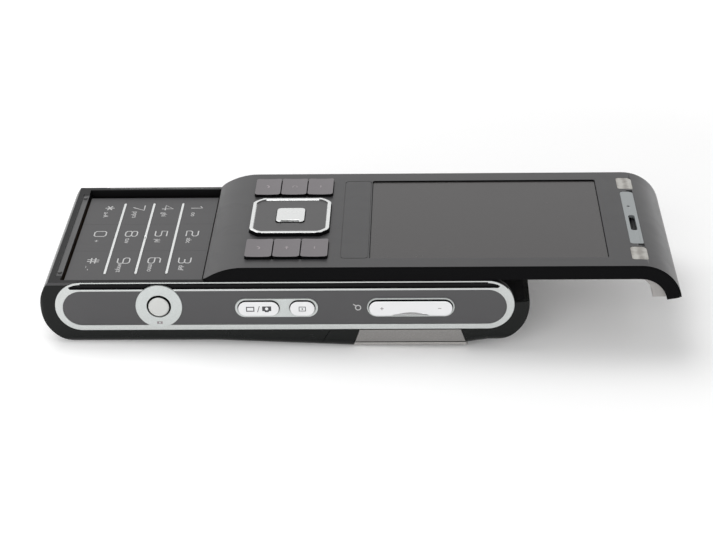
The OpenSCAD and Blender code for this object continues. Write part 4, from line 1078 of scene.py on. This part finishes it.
class SideKeys(bpy.types.Operator):
    """Shutter key, camera and playback keys and zoom rocker, with their silver frames"""

    bl_idname = "phone.side_keys"
    bl_label = "Side Keys"

    def execute(self, context):
        s = sizes()
        for node in ("shutter_ring", "key_bezel", "zoom_bezel"):
            dress(node, "ring silver", s.hairline)
        for node in ("mode_key", "playback_key"):
            bright_face_painted_gap_shade(dress(node, None, s.key_edge, 3), node)
        shutter = dress("shutter_button", None, s.key_edge * 1.6, 4)
        bright_face_painted_gap_shade(shutter, "shutter_button", "button silver")
        self.rocker()
        self.signs()
        return {"FINISHED"}

    def rocker(self):
        """The zoom rocker, its scoop, and a black arc along the scoop painted as its shadow."""
        rocker = node_copy("zoom_rocker")
        low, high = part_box("zoom_rocker")
        centre = (low.x + high.x) / 2
        foot = low.z + SCOOP_RISE - SCOOP_R
        length = 2 * MM
        bpy.ops.object.select_all(action="DESELECT")
        bpy.ops.mesh.primitive_cylinder_add(
            vertices=160, radius=SCOOP_R, depth=length, rotation=(math.pi / 2, 0, 0),
            location=(centre, low.y + SCOOP_DEPTH - length / 2, foot))
        scoop = bpy.context.object
        bpy.ops.object.transform_apply(location=True, rotation=True, scale=True)
        cut(rocker, scoop)
        soften(rocker, ROCKER_EDGE, 3)
        bright_face_painted_gap_shade(seat(rocker, "zoom_rocker"), "zoom_rocker")

        # A black arc printed on the rocker's face along the scoop: painted shadow under the scoop's
        # edge
        depth, thick, half = sizes().print_depth, 0.45 * MM, 12
        reach = math.acos((SCOOP_R - SCOOP_RISE + 0.1 * MM) / SCOOP_R)
        turns = [reach * (i / half - 1) for i in range(2 * half + 1)]
        line = [(math.sin(a) * SCOOP_R, -math.cos(a) * SCOOP_R) for a in turns]
        line += [(math.sin(a) * SCOOP_R, thick * math.cos(a / reach * 1.5) - math.cos(a) * SCOOP_R)
                 for a in reversed(turns)]
        shade = printed_shape([line], depth)
        shade.name = "zoom_rocker_scoop"
        stand(shade, ON_SIDE, (centre, low.y + SCOOP_DEPTH - depth / 2, foot))
        seat_print(shade, "zoom_rocker", "edge black")

    def signs(self):
        """The signs on the side keys and beside them."""
        low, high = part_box("zoom_rocker")
        centre, aside = (low.x + high.x) / 2, 6.1 * MM
        side_print("zoom_rocker_marks", "zoom_rocker", "faint print",
                   [("plus", centre - aside), ("minus", centre + aside)],
                   low.y, (low.z + high.z) / 2)

        low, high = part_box("shutter_ring")
        side_print("shutter_ring_mark", "shutter_ring", "faint print",
                   [("pierced box", (low.x + high.x) / 2)], low.y, low.z + 1.1 * MM)

        low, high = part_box("mode_key")
        face, middle = low.y, (low.z + high.z) / 2
        centre, aside = (low.x + high.x) / 2, 1.75 * MM
        side_print("mode_key_marks", "mode_key", "dark print",
                   [("film", centre - aside), ("slash", centre), ("camera", centre + aside)],
                   face, middle)

        low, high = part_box("playback_key")
        side_print("playback_key_mark", "playback_key", "dark print",
                   [("view", (low.x + high.x) / 2)], face, middle)

        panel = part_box("side_panels")[0].y
        side_print("zoom_mark", "side_panels", "keypad print", [("magnifier", -0.3 * MM)],
                   panel, middle - 0.1 * MM)


class BackCamera(bpy.types.Operator):
    """Bezel, lens cover, lens and flash at the back"""

    bl_idname = "phone.back_camera"
    bl_label = "Back Camera"

    def execute(self, context):
        # The bezel carries painted shade and a painted highlight low on its sides
        dress("camera_bezel", "bezel lined", sizes().shell_edge * 0.7, whole=False)
        for node, name in (("lens_cover", "bezel grey"), ("flash_unit", "flash white"),
                           ("camera_module", "optics black"), ("lens_glass", "lens coat")):
            dress(node, name, sizes().hairline)
        return {"FINISHED"}


INNER = {
    "keypad_board": "dome amber", "main_board": "board green", "slider_board": "board green",
    "battery": "battery wrap", "guide_plate": "steel", "loudspeaker": "inner black",
    "vibration_motor": "steel", "microphone": "gold", "case_screws": "steel",
    "display_module": "optics black", "ear_speaker": "inner black", "side_connector": "inner black",
}


class InnerPieces(bpy.types.Operator):
    """Finishes of the pieces inside, which keep their own shapes"""

    bl_idname = "phone.inner_pieces"
    bl_label = "Inner Pieces"

    def execute(self, context):
        for node, name in INNER.items():
            coat(frame["nodes"][node], finish(name))
        return {"FINISHED"}


# ---- stage


# Glow of the floor: low round the phone, which keeps its shadow, and rising to white further off
GLOW_MIDDLE = (50 * MM, 35 * MM, 0)
GLOW_NEAR = 0.14
GLOW_FAR = 0.9
# How far from that middle the glow starts to rise, and where it is full
GLOW_RISE = (60 * MM, 300 * MM)
# How much lower the camera bump reaches than the battery cover
BUMP = 1.4 * MM
# How far from its end the battery cover touches the floor
FOOT = 9 * MM
# The floor lies a little lower than the phone, so that they don't touch
CLEARANCE = 0.03 * MM

# Camera fitted to the photograph: place in metres, turns in degrees, focal length in pixels
VIEW_PLACE = (13.3 * MM, -404.3 * MM, 208.5 * MM)
VIEW_DOWN = 26.68
VIEW_TURN = 2.08
VIEW_ROLL = 1.21
VIEW_FOCAL = 2025.84
PHOTO_WIDTH = 713
SENSOR = 36.0
WHITE = (1, 1, 1, 1)
# Each lamp's name, place and size in metres, and power in watts
LAMPS = (("key_lamp", (-0.25, 0.25, 0.75), 0.7, 4), ("fill_lamp", (0.55, -0.35, 0.5), 0.5, 0.8),
         ("front_lamp", (-0.25, -0.75, 0.4), 0.5, 2.4))


def seen_directly(tree):
    """One for rays that show a surface to the eye, straight or through a mirror or glass."""
    rays = add(tree, "LightPath").outputs
    near = calc(tree, "MAXIMUM", rays["Is Camera Ray"], rays["Is Glossy Ray"])
    return calc(tree, "MAXIMUM", near, rays["Is Transmission Ray"])


def studio_floor():
    """Pale floor that touches the camera bump and the keypad end.

    It is white to the camera, and clear from beneath.
    """
    bump_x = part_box("camera_bezel")[0].x
    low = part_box("battery_cover")[0]
    lean = math.atan2(BUMP, bump_x - low.x - FOOT)
    bpy.ops.object.select_all(action="DESELECT")
    bpy.ops.mesh.primitive_plane_add(size=6, location=(0, 0, 0))
    floor = bpy.context.object
    floor.name = "floor"
    turn = Matrix.Rotation(lean, 4, "Y")
    floor.data.transform(Matrix.Translation((bump_x, 0, -CLEARANCE)) @ turn)
    material = bpy.data.materials.new("floor white")
    material.use_nodes = True
    tree = material.node_tree
    tree.nodes.clear()
    away = add(tree, "VectorMath", ("operation", "DISTANCE"), (0, object_place(tree)), (1, GLOW_MIDDLE))
    rise = remap(tree, away.outputs["Value"], *GLOW_RISE, GLOW_NEAR, GLOW_FAR, "SMOOTHSTEP")
    strength = calc(tree, "MULTIPLY", seen_directly(tree), rise)
    glow = add(tree, "Emission", ("Color", WHITE), ("Strength", strength))
    matt = add(tree, "BsdfDiffuse", ("Color", (0.86, 0.86, 0.86, 1)))
    total = add(tree, "AddShader", (0, glow.outputs[0]), (1, matt.outputs[0]))
    beneath = calc(tree, "MULTIPLY", add(tree, "NewGeometry").outputs["Backfacing"],
                   add(tree, "LightPath").outputs["Is Camera Ray"])
    clear = add(tree, "BsdfTransparent")
    mix = add(tree, "MixShader", (0, beneath), (1, total.outputs[0]), (2, clear.outputs[0]))
    add(tree, "OutputMaterial", ("Surface", mix.outputs[0]))
    coat(floor, material)


def studio_world():
    """Soft surround: white to the eye, plain and dimmer as a light."""
    world = bpy.data.worlds.new("studio")
    bpy.context.scene.world = world
    world.use_nodes = True
    tree = world.node_tree
    tree.nodes.clear()
    dim, white = (add(tree, "Background", ("Color", WHITE), ("Strength", strength)).outputs[0]
                  for strength in (0.4, 1.0))
    mix = add(tree, "MixShader", (0, seen_directly(tree)), (1, dim), (2, white))
    add(tree, "OutputWorld", ("Surface", mix.outputs[0]))


def soft_lamp(name, place, size, power):
    """A square area lamp aimed at the origin."""
    bpy.ops.object.light_add(type="AREA", location=place)
    lamp = bpy.context.object
    lamp.name = name
    lamp.data.size = size
    lamp.data.energy = power
    lamp.rotation_euler = (-Vector(place)).to_track_quat("-Z", "Y").to_euler()


def photo_camera():
    """Camera at the photograph's viewpoint."""
    down, turn, roll = (math.radians(a) for a in (VIEW_DOWN, VIEW_TURN, VIEW_ROLL))
    stance = (Matrix.Rotation(turn, 3, "Z") @ Matrix.Rotation(-down, 3, "X")
              @ Matrix.Rotation(roll, 3, "Y"))
    right, ahead, above = stance.col
    facing = Matrix((right, above, -ahead)).transposed()
    bpy.ops.object.camera_add(location=VIEW_PLACE, rotation=facing.to_euler())
    camera = bpy.context.object
    camera.data.sensor_width = SENSOR
    camera.data.sensor_fit = "HORIZONTAL"
    camera.data.lens = VIEW_FOCAL * SENSOR / PHOTO_WIDTH
    camera.data.clip_start = 10 * MM
    bpy.context.scene.camera = camera


class Stage(bpy.types.Operator):
    """Floor, soft lamps and the camera"""

    bl_idname = "phone.stage"
    bl_label = "Stage"

    def execute(self, context):
        studio_floor()
        studio_world()
        for lamp in LAMPS:
            soft_lamp(*lamp)
        photo_camera()
        context.scene.view_settings.view_transform = "Standard"
        return {"FINISHED"}


# ---- add-on


STEPS = (SliderShells, Screen, Earpiece, NavigationKey, FunctionKeys, Keypad, KeypadStrips,
         BaseShells, SideTrims, SideKeys, BackCamera, InnerPieces, Stage)


class PhonePanel(bpy.types.Panel):
    """Lists the phone's settings and its making steps"""

    bl_idname = "VIEW3D_PT_phone"
    bl_label = "Slider Phone"
    bl_space_type = "VIEW_3D"
    bl_region_type = "UI"
    bl_category = "Phone"

    def draw(self, context):
        for group in (context.scene.phone_sizes, context.scene.phone_colours):
            column = self.layout.column()
            for key in group.__annotations__:
                column.prop(group, key)
        for step in STEPS:
            self.layout.operator(step.bl_idname)


CLASSES = (PhoneSizes, PhoneColours, *STEPS, PhonePanel)


def register():
    """Registers the add-on's classes and settings."""
    for item in CLASSES:
        bpy.utils.register_class(item)
    bpy.types.Scene.phone_sizes = PointerProperty(type=PhoneSizes)
    bpy.types.Scene.phone_colours = PointerProperty(type=PhoneColours)


def unregister():
    """Takes the add-on's classes and settings away."""
    del bpy.types.Scene.phone_colours
    del bpy.types.Scene.phone_sizes
    for item in reversed(CLASSES):
        bpy.utils.unregister_class(item)


def main():
    """Makes every piece and the stage."""
    register()
    for step in STEPS:
        getattr(bpy.ops.phone, step.bl_idname.split(".")[1])()
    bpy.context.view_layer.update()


if __name__ == "__main__":
    main()
